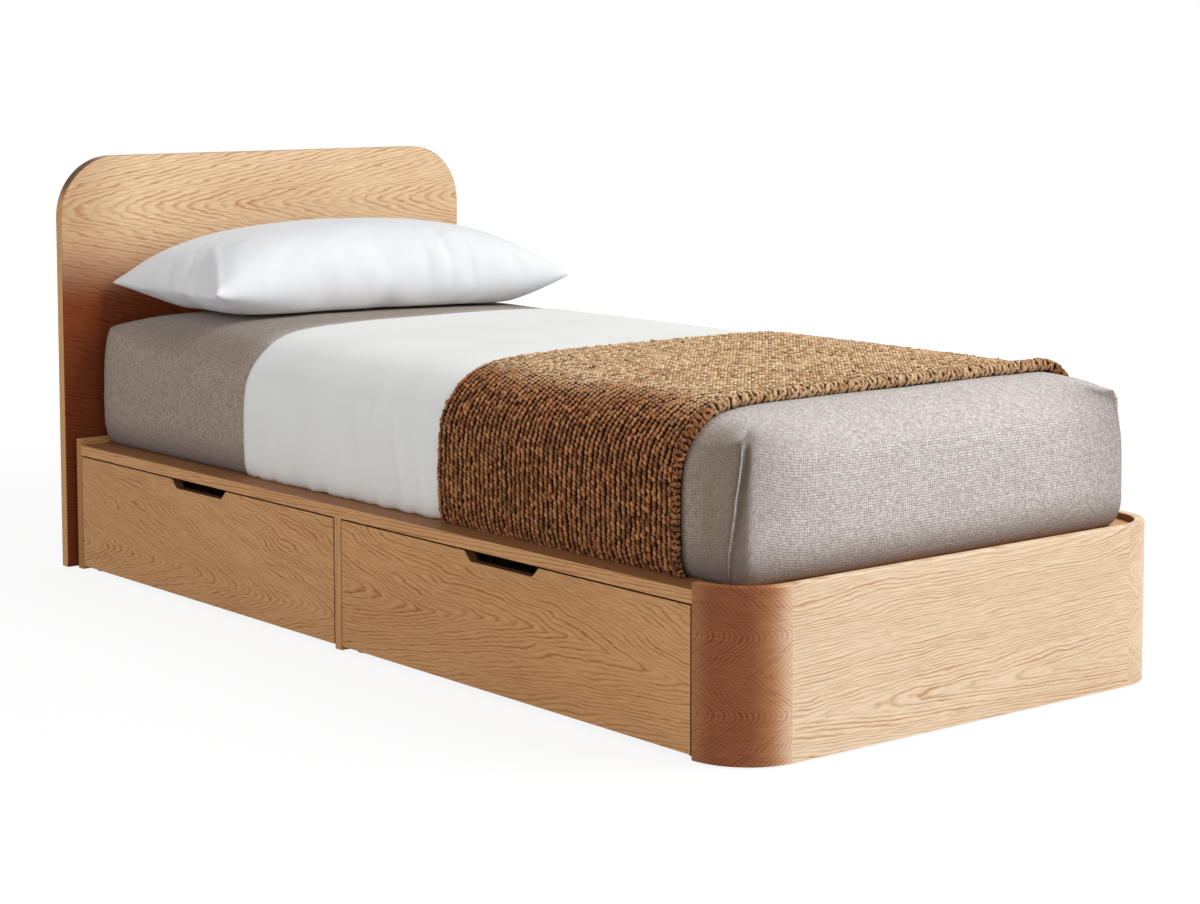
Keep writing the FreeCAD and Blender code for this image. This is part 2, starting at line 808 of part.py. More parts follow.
def mattress_form(outset):
    """The mattress, grown all round by an outset, lofted through level sections."""
    sections = []
    for side_share, crown_share, draw_share in mattress_level_shares:
        draw = draw_share * mattress_width / 2
        half_x = mattress_width / 2 - draw + outset
        half_y = mattress_length / 2 - draw + outset
        radius = mattress_corner_radius + corner_growth_share * draw
        z = deck_top + cloth_gap + side_share * mattress_side + crown_share * (mattress_crown + outset)
        sections.append(outline(
            [
                (-half_x, mattress_middle - half_y, radius),
                (half_x, mattress_middle - half_y, radius),
                (half_x, mattress_middle + half_y, radius),
                (-half_x, mattress_middle + half_y, radius),
            ],
            across_z(z),
        ))
    return Part.makeLoft(sections, True, True)


def laid_over(inner_gap, thickness, foot_edge, head_edge):
    """A band of cloth across the mattress, hanging to the deck on both sides."""
    shell = mattress_form(inner_gap + thickness).cut(mattress_form(inner_gap))
    band = block(
        drawer_side, hidden_side, base_foot + foot_edge, base_foot + head_edge,
        deck_top + cloth_floor_gap, deck_top + mattress_side + 2 * mattress_crown,
    )
    return shell.common(band)


save("mattress", [mattress_form(0)])
save("top_sheet", [laid_over(cloth_gap, sheet_thickness, sheet_foot_edge, sheet_head_edge)])
throw_gap = 2 * cloth_gap + sheet_thickness
save("throw", [laid_over(throw_gap, throw_thickness, throw_foot_edge, throw_head_edge)])

# Pillow: lofted through lens sections, thickest in the middle, its back edge tilted up
# Each section: place along the length, depth and thickness, all as shares
pillow_section_shares = (
    (-0.500, 0.90, 0.08),
    (-0.470, 0.88, 0.30),
    (-0.410, 0.88, 0.55),
    (-0.310, 0.90, 0.80),
    (-0.160, 0.93, 0.96),
    (0.000, 0.94, 1.00),
    (0.160, 0.93, 0.96),
    (0.310, 0.90, 0.80),
    (0.410, 0.88, 0.55),
    (0.470, 0.88, 0.30),
    (0.500, 0.90, 0.08),
)
pillow_top_share = 0.72
lens_wires = []
for place_share, depth_share, thick_share in pillow_section_shares:
    x = place_share * pillow_length
    half_depth = depth_share * pillow_depth / 2
    rise = thick_share * pillow_thickness * pillow_top_share
    sink = thick_share * pillow_thickness * (1 - pillow_top_share)
    front_tip = FreeCAD.Vector(x, -half_depth, 0)
    back_tip = FreeCAD.Vector(x, half_depth, 0)
    lens_wires.append(Part.Wire([
        Part.Arc(front_tip, FreeCAD.Vector(x, 0, rise), back_tip).toShape(),
        Part.Arc(back_tip, FreeCAD.Vector(x, 0, -sink), front_tip).toShape(),
    ]))
pillow = Part.makeLoft(lens_wires, True, True)
origin = FreeCAD.Vector(0, 0, 0)
pillow.rotate(origin, FreeCAD.Vector(1, 0, 0), pillow_tilt_degrees)
pillow.rotate(origin, FreeCAD.Vector(0, 0, 1), pillow_turn_degrees)
mattress_peak = deck_top + cloth_gap + mattress_side + mattress_crown
pillow.translate(FreeCAD.Vector(
    pillow_off_centre,
    mattress_head - pillow_from_head,
    mattress_peak + cloth_gap - pillow.optimalBoundingBox().ZMin,
))
save("pillow", [pillow])
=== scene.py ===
import math
import random
from collections import namedtuple

import bpy
from mathutils import Matrix, Vector, noise


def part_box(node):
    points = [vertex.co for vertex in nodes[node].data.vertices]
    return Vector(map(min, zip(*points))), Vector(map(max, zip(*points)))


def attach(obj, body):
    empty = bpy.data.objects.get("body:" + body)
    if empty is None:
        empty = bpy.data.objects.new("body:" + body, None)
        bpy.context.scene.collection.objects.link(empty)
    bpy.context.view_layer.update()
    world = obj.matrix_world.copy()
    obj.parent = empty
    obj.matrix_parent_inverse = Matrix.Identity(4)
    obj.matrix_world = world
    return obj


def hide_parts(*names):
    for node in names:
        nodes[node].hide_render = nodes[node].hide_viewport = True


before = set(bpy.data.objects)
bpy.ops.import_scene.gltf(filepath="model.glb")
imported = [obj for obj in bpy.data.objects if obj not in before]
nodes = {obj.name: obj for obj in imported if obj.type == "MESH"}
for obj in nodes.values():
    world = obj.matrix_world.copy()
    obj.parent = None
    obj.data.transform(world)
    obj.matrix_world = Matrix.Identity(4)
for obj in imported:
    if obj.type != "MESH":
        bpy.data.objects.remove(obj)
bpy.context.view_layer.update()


# Oak-faced boards: case, headboard and drawer fronts
# The boards are faced with flat-sawn oak veneer under a matt oil, grain along their length.
# Each board has its own leaf, so its arched figure lies where that leaf's heart line lies.
class Socket:
    """One output of a node tree, so that sums on it read as sums."""

    def __init__(self, graph, end):
        self.graph = graph
        self.end = end

    def sum(self, operation, *values):
        return self.graph.node("ShaderNodeMath", {"operation": operation}, dict(enumerate(values)))

    def __add__(self, other):
        return self.sum("ADD", self, other)

    def __sub__(self, other):
        return self.sum("SUBTRACT", self, other)

    def __mul__(self, other):
        return self.sum("MULTIPLY", self, other)

    def __truediv__(self, other):
        return self.sum("DIVIDE", self, other)

    def __rsub__(self, other):
        return self.sum("SUBTRACT", other, self)

    def __rtruediv__(self, other):
        return self.sum("DIVIDE", other, self)

    __radd__ = __add__
    __rmul__ = __mul__

    def above(self, edge):
        return self.sum("GREATER_THAN", self, edge)

    def size(self):
        return self.sum("ABSOLUTE", self)

    def root(self):
        return self.sum("SQRT", self)

    def whole(self):
        return self.sum("FLOOR", self)

    def fraction(self):
        return self.sum("FRACT", self)

    def ease(self, low, high):
        """0 below low, 1 above high and a smooth step between them."""
        return self.graph.node(
            "ShaderNodeMapRange", {"interpolation_type": "SMOOTHSTEP"},
            {"Value": self, "From Min": low, "From Max": high},
        )


class Graph:
    """A node tree that is put together node by node."""

    def __init__(self, tree):
        self.tree = tree

    def node(self, kind, settings, sockets, output=0):
        """Adds a node: its settings first, then the values or links of its sockets."""
        made = self.tree.nodes.new(kind)
        for name, value in settings.items():
            if name == "stops":
                self.set_stops(made.color_ramp.elements, value)
            else:
                setattr(made, name, value)
        for key, value in sockets.items():
            self.join(value, self.find(made.inputs, key))
        return Socket(self, self.find(made.outputs, output))

    def find(self, ends, key):
        if isinstance(key, int):
            return ends[key]
        return next(end for end in ends if key in (end.identifier, end.name))

    def join(self, value, end):
        if isinstance(value, Socket):
            self.tree.links.new(value.end, end)
        else:
            end.default_value = value

    def set_stops(self, elements, stops):
        while len(elements) < len(stops):
            elements.new(1)
        for element, (place, level) in zip(elements, stops):
            element.position = place
            element.color = (level, level, level, 1)


class Finish(Graph):
    """A material whose shader is fed by nodes."""

    def __init__(self, name, roughness, metallic=0.0, gloss=0.5, sheen=0.0):
        self.material = bpy.data.materials.new(name)
        self.material.use_nodes = True
        super().__init__(self.material.node_tree)
        self.shader = self.tree.nodes["Principled BSDF"]
        self.feed("Roughness", roughness)
        self.feed("Metallic", metallic)
        self.feed("Specular IOR Level", gloss)
        self.feed("Sheen Weight", sheen)

    def feed(self, name, value):
        self.join(value, self.shader.inputs[name])

    def place(self, output="Object"):
        """The point on the piece as three numbers, in metres."""
        point = self.node("ShaderNodeTexCoord", {}, {}, output)
        return [self.node("ShaderNodeSeparateXYZ", {}, {0: point}, axis) for axis in range(3)]

    def facing(self, axis):
        """How squarely the surface faces along an axis, from 0 to 1."""
        normal = self.node("ShaderNodeNewGeometry", {}, {}, "Normal")
        return self.node("ShaderNodeSeparateXYZ", {}, {0: normal}, axis).size()

    def noise(self, x, y, z, detail=2.0, rough=0.5):
        point = self.node("ShaderNodeCombineXYZ", {}, {0: x, 1: y, 2: z})
        return self.node(
            "ShaderNodeTexNoise", {"noise_dimensions": "3D"},
            {"Vector": point, "Scale": 1.0, "Detail": detail, "Roughness": rough},
        )

    def streaks(self, run, rise, scales, seed, detail=2.0, rough=0.5):
        """Noise with one scale along a surface and another across it, in changes to a metre."""
        return self.noise(run * scales[0], rise * scales[1], seed, detail, rough)

    def specks(self, scale, detail=2.0):
        """Noise with the same scale every way, in changes to a metre."""
        x, y, z = self.place()
        return self.noise(x * scale, y * scale, z * scale, detail)

    def ramp(self, value, *stops):
        return self.node("ShaderNodeValToRGB", {"stops": stops}, {0: value})

    def mix(self, share, first, second, blend="MIX"):
        """A colour between two others."""
        ends = {"Factor_Float": share}
        for key, colour in (("A_Color", first), ("B_Color", second)):
            ends[key] = colour if isinstance(colour, Socket) else (*colour, 1.0)
        settings = {"data_type": "RGBA", "blend_type": blend}
        return self.node("ShaderNodeMix", settings, ends, "Result_Color")

    def paint(self, colour):
        self.colour = colour
        self.feed("Base Color", colour)

    def stain(self, share, colour, blend="MIX"):
        """Lays a colour over the paint, by a share from 0 to 1."""
        self.paint(self.mix(share, self.colour, colour, blend))

    def relief(self, height, depth, strength=1.0):
        """Raises the surface by a height from 0 to 1 times a depth in metres."""
        bump = self.node("ShaderNodeBump", {}, {"Height": height, "Distance": depth, "Strength": strength})
        self.feed("Normal", bump)

    def dress(self, *names):
        """Puts the finish on nodes of the frame."""
        for name in names:
            for slot in nodes[name].material_slots:
                slot.material = self.material


# Axes of the bed: across it, along it and up
ACROSS, ALONG, UP = 0, 1, 2

# A leaf's heart line lies at a place across the grain, and its lean is rise per run.
# Its spacing and wander are in metres.
Leaf = namedtuple("Leaf", "heart lean spacing wander seed")

matt_oil = 0.10
oak_light = (0.840, 0.668, 0.482)
oak_dark = (0.480, 0.240, 0.098)
pore_brown = (0.300, 0.160, 0.075)
# Unevenness of the wood, in changes to a metre along the grain and across it
drift_scale = (1.3, 3.5)
sway_scale = (6.0, 15.0)
ripple_scale = (34.0, 50.0)
fray_scale = (24.0, 130.0)
crowd_scale = (1.2, 48.0)
fade_scale = (7.0, 40.0)
fibre_scale = (22.0, 430.0)
tone_scale = (1.7, 6.0)
pore_scale = (60.0, 1100.0)
# How dark a ring is from its early wood to its late wood
ring_profile = ((0.0, 0.04), (0.10, 0.0), (0.42, 0.10), (0.62, 0.62), (0.74, 1.0), (0.84, 0.62), (0.96, 0.10))
faintest_ring = 0.36
core_spacings = 1.9
ring_sway = 0.007
glow_gain, palest_oak = 1.12, 0.95
edge_follow = 0.9
end_grain = (0.75, 0.95)
oak_relief = 0.00035
footboard_relief = 0.0004
relief_strength = 0.6


def growth_rings(finish, run, rise, leaf):
    """Oak figure: 1 on the dark line of each ring, which arches over the heart line."""
    drift = finish.streaks(run, rise, drift_scale, leaf.seed) - 0.5
    sway = finish.streaks(run, rise, sway_scale, leaf.seed + 3) - 0.5
    ripple = finish.streaks(run, rise, ripple_scale, leaf.seed + 5, 1.0) - 0.5
    fray = finish.streaks(run, rise, fray_scale, leaf.seed + 7, 2.0, 0.6) - 0.5
    off = rise - leaf.heart + drift * leaf.wander + sway * (0.26 * leaf.wander)
    core = core_spacings * leaf.spacing
    arch = (off * off + core * core).root()
    nose = core / arch
    rough = ripple * 0.55 + fray * (0.28 + 0.62 * nose)
    crowd = finish.streaks(run, arch, crowd_scale, leaf.seed + 9, 1.0) - 0.5
    ring = (arch - run * leaf.lean + sway * ring_sway) / leaf.spacing + crowd * 2.4 + rough
    weight = finish.node(
        "ShaderNodeTexWhiteNoise", {"noise_dimensions": "1D"}, {"W": ring.whole()}, "Value",
    )
    return finish.ramp(ring.fraction(), *ring_profile) * (faintest_ring + (1 - faintest_ring) * weight)


def oak_grain(finish, run, rise, line, seed, light=oak_light, dark=oak_dark):
    """Colours the figure and adds the fibres and the open pores between them."""
    fade = finish.streaks(run, rise, fade_scale, seed + 11)
    fibre = finish.streaks(run, rise, fibre_scale, seed + 13, 3.0, 0.6)
    tone = finish.streaks(run, rise, tone_scale, seed + 17)
    pores = finish.streaks(run, rise, pore_scale, seed + 19, 1.0).ease(0.58, 0.72)
    mark = line * (0.62 + 0.50 * fade.ease(0.32, 0.60))
    glow = tuple(min(glow_gain * level, palest_oak) for level in light)
    colour = finish.mix(mark, light, dark)
    colour = finish.mix(tone.ease(0.38, 0.72) * 0.20, colour, dark)
    colour = finish.mix(fibre.ease(0.46, 0.66) * 0.26, colour, dark)
    colour = finish.mix((1 - fibre.ease(0.30, 0.48)) * 0.50, colour, glow)
    return finish.mix(pores * (0.06 + 0.34 * mark), colour, pore_brown), mark, fibre


def oak(name, boards, grain, width, leaf, light=oak_light, dark=oak_dark, edge=None):
    """Oak veneer for boards with their grain along one axis of the bed."""
    finish = Finish(name, 0.5, gloss=matt_oil)
    point = finish.place()
    through_board = 3 - grain - width
    run = point[grain]
    rise = point[width] + edge_follow * (point[through_board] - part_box(boards[0])[0][through_board])
    line = growth_rings(finish, run, rise, leaf)
    colour, finish.mark, fibre = oak_grain(finish, run, rise, line, leaf.seed, light, dark)
    lipping = edge or tuple(0.25 * pale + 0.75 * deep for pale, deep in zip(light, dark))
    finish.paint(colour)
    finish.stain(finish.facing(grain).ease(*end_grain) * 0.78, lipping)
    finish.feed("Roughness", 0.46 + 0.12 * finish.mark)
    finish.relief(fibre * 0.6 - finish.mark * 0.4, oak_relief, relief_strength)
    finish.dress(*boards)
    return finish


# The front of the headboard has painted shade: it darkens to a deep red-brown below the pillow and toward its
# near edge, beside the mattress
headboard_low, headboard_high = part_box("headboard")
painted_edge_shade = (0.420, 0.200, 0.080)
# Painted shade for the curved top edge of the headboard
painted_curve_shade = (0.130, 0.044, 0.015)
near_edge_reach = 0.20
painted_shade_heights = (0.56, 0.74)
head_leaf = oak(
    "headboard_oak", ("headboard",), ACROSS, UP,
    Leaf(heart=0.765, lean=0.20, spacing=0.0084, wander=0.030, seed=4),
    light=(0.860, 0.640, 0.420), dark=(0.500, 0.245, 0.095), edge=(0.600, 0.290, 0.100),
)
leaf_x, leaf_y, leaf_z = head_leaf.place()
on_front = 1 - leaf_y.above(0.5 * (headboard_low.y + headboard_high.y))
front_face = on_front * (1 - head_leaf.facing(ACROSS).ease(*end_grain))
# Painted shade: the deep red-brown that the front darkens to below the pillow
painted_low_shade = head_leaf.mix(head_leaf.mark, (0.220, 0.046, 0.012), (0.115, 0.021, 0.005))
near_edge = 1 - leaf_x.ease(headboard_low.x, headboard_low.x + near_edge_reach)
on_curve = head_leaf.facing(UP).ease(0.20, 0.60) * (0.30 + 0.68 * head_leaf.facing(ACROSS).ease(0.05, 0.40))
# Painted shade toward the near edge, beside the mattress, and below the pillow
head_leaf.stain(near_edge * front_face * 0.42, painted_edge_shade)
head_leaf.stain((1 - leaf_z.ease(*painted_shade_heights)) * front_face * 0.98, painted_low_shade)
# Painted shade along the curved top edge
head_leaf.stain(on_curve, painted_curve_shade)

# The drawer fronts, rails and ends have painted shade: their oak is a darker, warmer copy of the boards at
# the two ends of the bed
shaded_case_tones = {"light": (0.680, 0.375, 0.170), "dark": (0.340, 0.128, 0.033)}
# Painted shade for the gaps round the drawer fronts, laid on the fronts' edges
painted_gap_shade = (0.110, 0.042, 0.018)
# Painted shade for the upper faces of the rails and panels, beside the mattress
painted_rail_top_shade = (0.250, 0.100, 0.040)
front_leaves = {
    "head": Leaf(heart=0.080, lean=0.24, spacing=0.0064, wander=0.13, seed=21),
    "foot": Leaf(heart=0.140, lean=0.14, spacing=0.0066, wander=0.13, seed=35),
}
for end, leaf in front_leaves.items():
    front = oak(f"{end}_front_oak", (f"{end}_drawer_front",), ALONG, UP, leaf, **shaded_case_tones)
    # Painted shade on the edges of each front, in the gaps round it
    front.stain((1 - front.facing(ACROSS).ease(0.30, 0.70)) * 0.90, painted_gap_shade)
rail = oak(
    "rail_oak", ("drawer_side_deck_rail", "hidden_side_deck_rail", "long_partition", "hidden_side_panel"),
    ALONG, ACROSS, Leaf(heart=0.30, lean=0.03, spacing=0.0060, wander=0.02, seed=44), **shaded_case_tones,
)
# Painted shade on the upper faces
rail.stain(rail.facing(UP).ease(0.5, 0.9) * 0.85, painted_rail_top_shade)
oak(
    "cross_oak", ("foot_deck_board", "head_deck_rail", "foot_end_panel", "head_end_panel"),
    ACROSS, UP, Leaf(heart=0.10, lean=0.10, spacing=0.0075, wander=0.05, seed=57), **shaded_case_tones,
)
oak(
    "upright_oak", ("drawer_divider", "hidden_bay_divider"),
    UP, ALONG, Leaf(heart=0.50, lean=0.05, spacing=0.006, wander=0.02, seed=63), **shaded_case_tones,
)

# Footboard
# One bent board: the face leaf runs straight across, and a second leaf is laid round each corner.
# The corner leaf has two arches and meets the face leaf where the bend starts. On the drawer side
# the corner has painted shade that deepens as it turns away from the light,
# and the inner face of the board has painted shade too.
footboard_low, footboard_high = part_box("footboard")
bend_radius = footboard_high.y - footboard_low.y
bend_start = footboard_high.x - bend_radius
# Just less than the board's thickness of 18 mm, so that its inner face lies past this depth
inner_face_depth = 0.0176
face_leaf = Leaf(heart=0.062, lean=0.045, spacing=0.0053, wander=0.065, seed=71)
corner_leaf = Leaf(heart=0.062, lean=0.60, spacing=0.0056, wander=0.020, seed=83)
# Painted shade for the near corner: deep, then half deep where it starts to turn
shaded_corner_tones = ((0.315, 0.106, 0.044), (0.115, 0.030, 0.011))
half_shaded_corner_tones = ((0.560, 0.270, 0.120), (0.300, 0.110, 0.040))
# Painted shade for the inner face of the board
painted_inner_shade_tones = ((0.330, 0.145, 0.065), (0.190, 0.072, 0.030))
patch_scale = (9.0, 11.0)


def footboard_finish():
    finish = Finish("footboard_oak", 0.5, gloss=matt_oil)
    x, y, z = finish.place()
    past = x.size() - bend_start
    back = footboard_high.y - y
    turn = past.sum("ARCTAN2", past, back)
    round_it = past.above(0.0)
    run = past * (1 - round_it) + turn * bend_radius * round_it
    side = x.sum("SIGN", x)
    signed = run * side + bend_start * side
    face = growth_rings(finish, signed, z, face_leaf)
    arches = (z - 0.5 * (footboard_low.z + footboard_high.z)).size()
    corner = growth_rings(finish, run, arches, corner_leaf)
    face_colour, face_mark, fibre = oak_grain(finish, signed, z, face, face_leaf.seed)
    near_colour, near_mark, _ = oak_grain(finish, signed, arches, corner, corner_leaf.seed, *shaded_corner_tones)
    middle_colour, _, _ = oak_grain(finish, signed, arches, corner, corner_leaf.seed, *half_shaded_corner_tones)
    far_colour, _, _ = oak_grain(finish, signed, arches, corner, corner_leaf.seed)
    inner_shade_colour, _, _ = oak_grain(finish, signed, z, face, face_leaf.seed, *painted_inner_shade_tones)
    near = round_it * (1 - side.above(0.0))
    patch = finish.streaks(run, z, patch_scale, 5.0, 3.0) - 0.5
    way_round = turn / (0.5 * math.pi) + patch * 0.10
    toward_face = way_round.ease(0.06, 0.46)
    toward_deck = 1 - 0.50 * way_round.ease(0.76, 1.02)
    out = past * round_it
    reach = (out * out + back * back).root()
    finish.paint(finish.mix(round_it, face_colour, far_colour))
    # Painted shade on the near corner, deepening as it turns to the drawer side
    finish.stain(near * way_round.ease(-0.09, 0.28), middle_colour)
    finish.stain(near * toward_face * toward_deck, near_colour)
    # Painted shade on the inner face of the board
    finish.stain(1 - reach.above(bend_radius - inner_face_depth), inner_shade_colour)
    mark = face_mark * 0.4 * (1 - round_it) + near_mark * 0.4 * round_it
    finish.relief(fibre * 0.6 - mark, footboard_relief, relief_strength)
    return finish


footboard_finish().dress("footboard")

# Drawer boxes
# Four sides and a bottom of lacquered birch plywood, with the layers showing on the cut edges.
plies_in_board = 7
plywood_thickness = 0.012
birch_pale, birch_fleck, birch_cloud = (0.80, 0.66, 0.47), (0.70, 0.53, 0.34), (0.64, 0.47, 0.30)
glue_line = (0.42, 0.27, 0.15)
birch_fleck_scale, birch_cloud_scale = (45.0, 9.0), (3.0, 14.0)


def birch_finish():
    finish = Finish("birch_ply", 0.38)
    x, y, z = finish.place()
    fleck = finish.streaks(x + y, z, birch_fleck_scale, 3.0, 3.0)
    cloud = finish.streaks(x + y, z, birch_cloud_scale, 8.0)
    layer = ((x + y) * (plies_in_board / plywood_thickness)).fraction().above(0.5)
    finish.paint(finish.mix(fleck.ease(0.35, 0.75), birch_pale, birch_fleck))
    finish.stain(cloud.ease(0.4, 0.7) * 0.3, birch_cloud)
    finish.stain(finish.facing(UP).ease(0.8, 0.95) * layer * 0.6, glue_line)
    finish.relief(fleck, 0.0002, 0.4)
    return finish


drawers = ("foot_drawer", "head_drawer")
birch = birch_finish()
for drawer in drawers:
    birch.dress(*(f"{drawer}_{part}" for part in ("inner_front", "foot_side", "head_side", "back", "bottom")))


# Runners, rollers and screws
# The runners are folded steel under a white powder coat, the rollers are turned nylon,
# and the screws, pins and bolts are zinc plated.
broad_specks = 30.0


def speckled(name, colour, second, roughness, metallic, grains, depth):
    finish = Finish(name, roughness, metallic)
    speck = finish.specks(grains, 3.0)
    broad = finish.specks(broad_specks)
    finish.paint(finish.mix(0.6 * speck.ease(0.35, 0.7) + 0.4 * broad.ease(0.4, 0.7), colour, second))
    finish.feed("Roughness", roughness + 0.15 * (speck - 0.5))
    finish.relief(speck, depth, 0.5)
    return finish


powder_coat = speckled("powder_coat", (0.84, 0.84, 0.81), (0.77, 0.77, 0.74), 0.42, 0.0, 900.0, 0.00012)
zinc = speckled("zinc_plate", (0.62, 0.62, 0.63), (0.47, 0.48, 0.50), 0.30, 1.0, 700.0, 0.00005)
nylon = speckled("nylon", (0.86, 0.85, 0.80), (0.78, 0.77, 0.71), 0.45, 0.0, 500.0, 0.00005)
for drawer in drawers:
    powder_coat.dress(f"{drawer}_box_runners", f"{drawer}_cabinet_runners")
    nylon.dress(f"{drawer}_front_rollers", f"{drawer}_rear_rollers")
    zinc.dress(f"{drawer}_front_screws", f"{drawer}_runner_screws", f"{drawer}_rear_roller_pins")
zinc.dress("cabinet_runner_screws", "footboard_bolts", "headboard_bolts", "front_roller_pins")

# Feet, blocks, battens, dowels and slats
# The feet are moulded black plastic pads. The glued blocks, spacers, battens and dowels are beech,
# and the slats are planed spruce.
black, worn_black = (0.022, 0.022, 0.024), (0.035, 0.035, 0.037)
speckled("black_plastic", black, worn_black, 0.55, 0.0, 600.0, 0.0002).dress("adjustable_feet")
ring_width = 0.006
ring_scale, fleck_scale = (1.5, 9.0), (90.0, 420.0)


def plain_wood(name, colour, line_colour, fleck_share, seed):
    """Planed timber with its grain across the bed."""
    finish = Finish(name, 0.55)
    run, y, z = finish.place()
    rise = y + 0.8 * z
    ring = (rise / ring_width + 3.0 * finish.streaks(run, rise, ring_scale, seed)).fraction()
    line = finish.ramp(ring, (0.0, 0.1), (0.7, 0.9), (0.95, 0.1))
    fleck = finish.streaks(run, rise, fleck_scale, seed + 2.0).ease(0.55, 0.7)
    finish.paint(finish.mix(line * 0.45, colour, line_colour))
    finish.stain(fleck * fleck_share, line_colour)
    finish.relief(line, 0.0003, 0.5)
    return finish


beech = plain_wood("beech", (0.70, 0.48, 0.32), (0.52, 0.31, 0.18), 0.7, 91)
beech.dress("deck_dowels", "foot_blocks", "footboard_spacers", "headboard_battens")
plain_wood("spruce", (0.82, 0.67, 0.45), (0.66, 0.44, 0.22), 0.2, 97).dress("slats")

# Mattress
# A foam mattress in a warm grey linen cover with a crowned top and drawn-in lower edges.
# The cover is sewn at the corners, where a narrow fold of cloth stands up beside a crease.
mattress_low, mattress_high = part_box("mattress")
mattress_half_x = 0.5 * (mattress_high.x - mattress_low.x)
mattress_half_y = 0.5 * (mattress_high.y - mattress_low.y)
mattress_middle = 0.5 * (mattress_high.y + mattress_low.y)
mattress_length = mattress_high.y - mattress_low.y
foot_corner_radius = 0.026
head_corner_radius = 0.012
corner_growth = 0.22
edge_draw = 0.009
# Draw-in of the side in metres against the share of its height
side_draws = (
    (0.0, 0.016), (0.04, 0.009), (0.10, 0.004), (0.20, 0.001), (0.50, 0.0), (0.70, 0.0004),
    (0.80, 0.0017), (0.88, 0.0034), (0.94, 0.0053), (1.0, edge_draw),
)
# How far the top rolls down against the distance in from an edge, both in metres
roll_drops = (
    (edge_draw, 0.099), (0.014, 0.086), (0.022, 0.0724), (0.034, 0.058), (0.048, 0.0444), (0.065, 0.031),
    (0.086, 0.0204), (0.11, 0.0130), (0.138, 0.0084), (0.207, 0.0034), (0.33, 0.0), (1.50, 0.0),
)
head_roll, foot_roll = 1.0, 0.80
full_roll_share = 0.6
end_roll = 0.85
head_crown, foot_crown = 0.2900, 0.2640
crown_power = 1.6
foot_width_loss = 0.008
far_roll = 0.55
far_roll_power = 1.5
# How sharply the roll of a side meets the roll of an end
rim_power = 4
# How far a corner reaches in, in square metres, and the share of the roll that it takes away
foot_corner_spread, head_corner_spread = 0.0068, 0.016
head_held_up, near_foot_held_up, far_foot_held_up = 0.60, 0.42, 0.30
# Columns, rows and side levels of the cover, which crowd toward its edges by two powers
cover_across, cover_along, cover_levels = 48, 104, 30
column_power, ring_power = 1.6, 1.7


def within(value, low=0.0, high=1.0):
    return min(max(value, low), high)


def bell(off, width):
    """1 at no distance, and next to nothing past two widths."""
    return math.exp(-(off / width) ** 2)


def waver(x, y, z):
    """A smooth uneven value between -1 and 1."""
    return noise.noise(Vector((x, y, z)))


def through(points, x):
    """A smooth line through points, read at x."""
    last = len(points) - 1
    k = next((i for i in range(last) if x <= points[i + 1][0]), last - 1)
    (x0, y0), (x1, y1) = points[k], points[k + 1]
    slope = (y1 - y0) / (x1 - x0)

    def knot(i):
        if i == 0 or i == last:
            return slope
        before = (points[i][1] - points[i - 1][1]) / (points[i][0] - points[i - 1][0])
        after = (points[i + 1][1] - points[i][1]) / (points[i + 1][0] - points[i][0])
        return 0.0 if before * after <= 0 else 2 * before * after / (before + after)

    t = within((x - x0) / (x1 - x0))
    m0, m1 = knot(k) * (x1 - x0), knot(k + 1) * (x1 - x0)
    return (
        y0 * (2 * t ** 3 - 3 * t ** 2 + 1) + m0 * (t ** 3 - 2 * t ** 2 + t)
        + y1 * (3 * t ** 2 - 2 * t ** 3) + m1 * (t ** 3 - t ** 2)
    )


def along_bed(y):
    """0 at the foot of the mattress and 1 at its head."""
    return within((y - mattress_low.y) / mattress_length)


def far_side(x, y):
    """The cover is a little narrower at the foot, on the side away from the drawers."""
    return x * (1 - foot_width_loss / mattress_half_x * (x > 0) * (1 - along_bed(y)) ** 2)


def top_height(x, y):
    """Height of the cover's crowned top in the frame: rolled edges, with the corners held up."""
    share = along_bed(y)
    roll = foot_roll + (head_roll - foot_roll) * min(share / full_roll_share, 1.0)
    crown = foot_crown + (head_crown - foot_crown) * (1 - (1 - share) ** crown_power)
    from_side = max(mattress_half_x - abs(x), edge_draw)
    from_end = max(mattress_half_y - abs(y - mattress_middle), edge_draw)
    beside = roll * (1 - (1 - far_roll) * (x > 0) * (1 - share) ** far_roll_power)
    side_drop = beside * through(roll_drops, from_side / beside)
    end_drop = end_roll * roll * through(roll_drops, from_end / roll)
    drop = (side_drop ** rim_power + end_drop ** rim_power) ** (1 / rim_power)
    spread = foot_corner_spread if y < mattress_middle else head_corner_spread
    corner = math.exp(-(from_side ** 2 + from_end ** 2) / spread)
    held_up = head_held_up if y > mattress_middle else near_foot_held_up if x < 0 else far_foot_held_up
    return mattress_low.z + crown - drop * (1 - held_up * corner)


def cloth_place(x, y):
    """Where a point of the top lies on the flat cloth, measured over the rolled edges."""
    place = []
    for way, half in ((x, mattress_half_x), (y - mattress_middle, mattress_half_y)):
        inward, length = max(half - abs(way), edge_draw), 0.0
        for (near, high), (far, low) in zip(roll_drops, roll_drops[1:]):
            length += within((inward - near) / (far - near)) * math.hypot(far - near, high - low)
        place.append(math.copysign(half - length, way))
    return place


def corner_radius(toward_head, draw):
    return (head_corner_radius if toward_head else foot_corner_radius) + corner_growth * draw


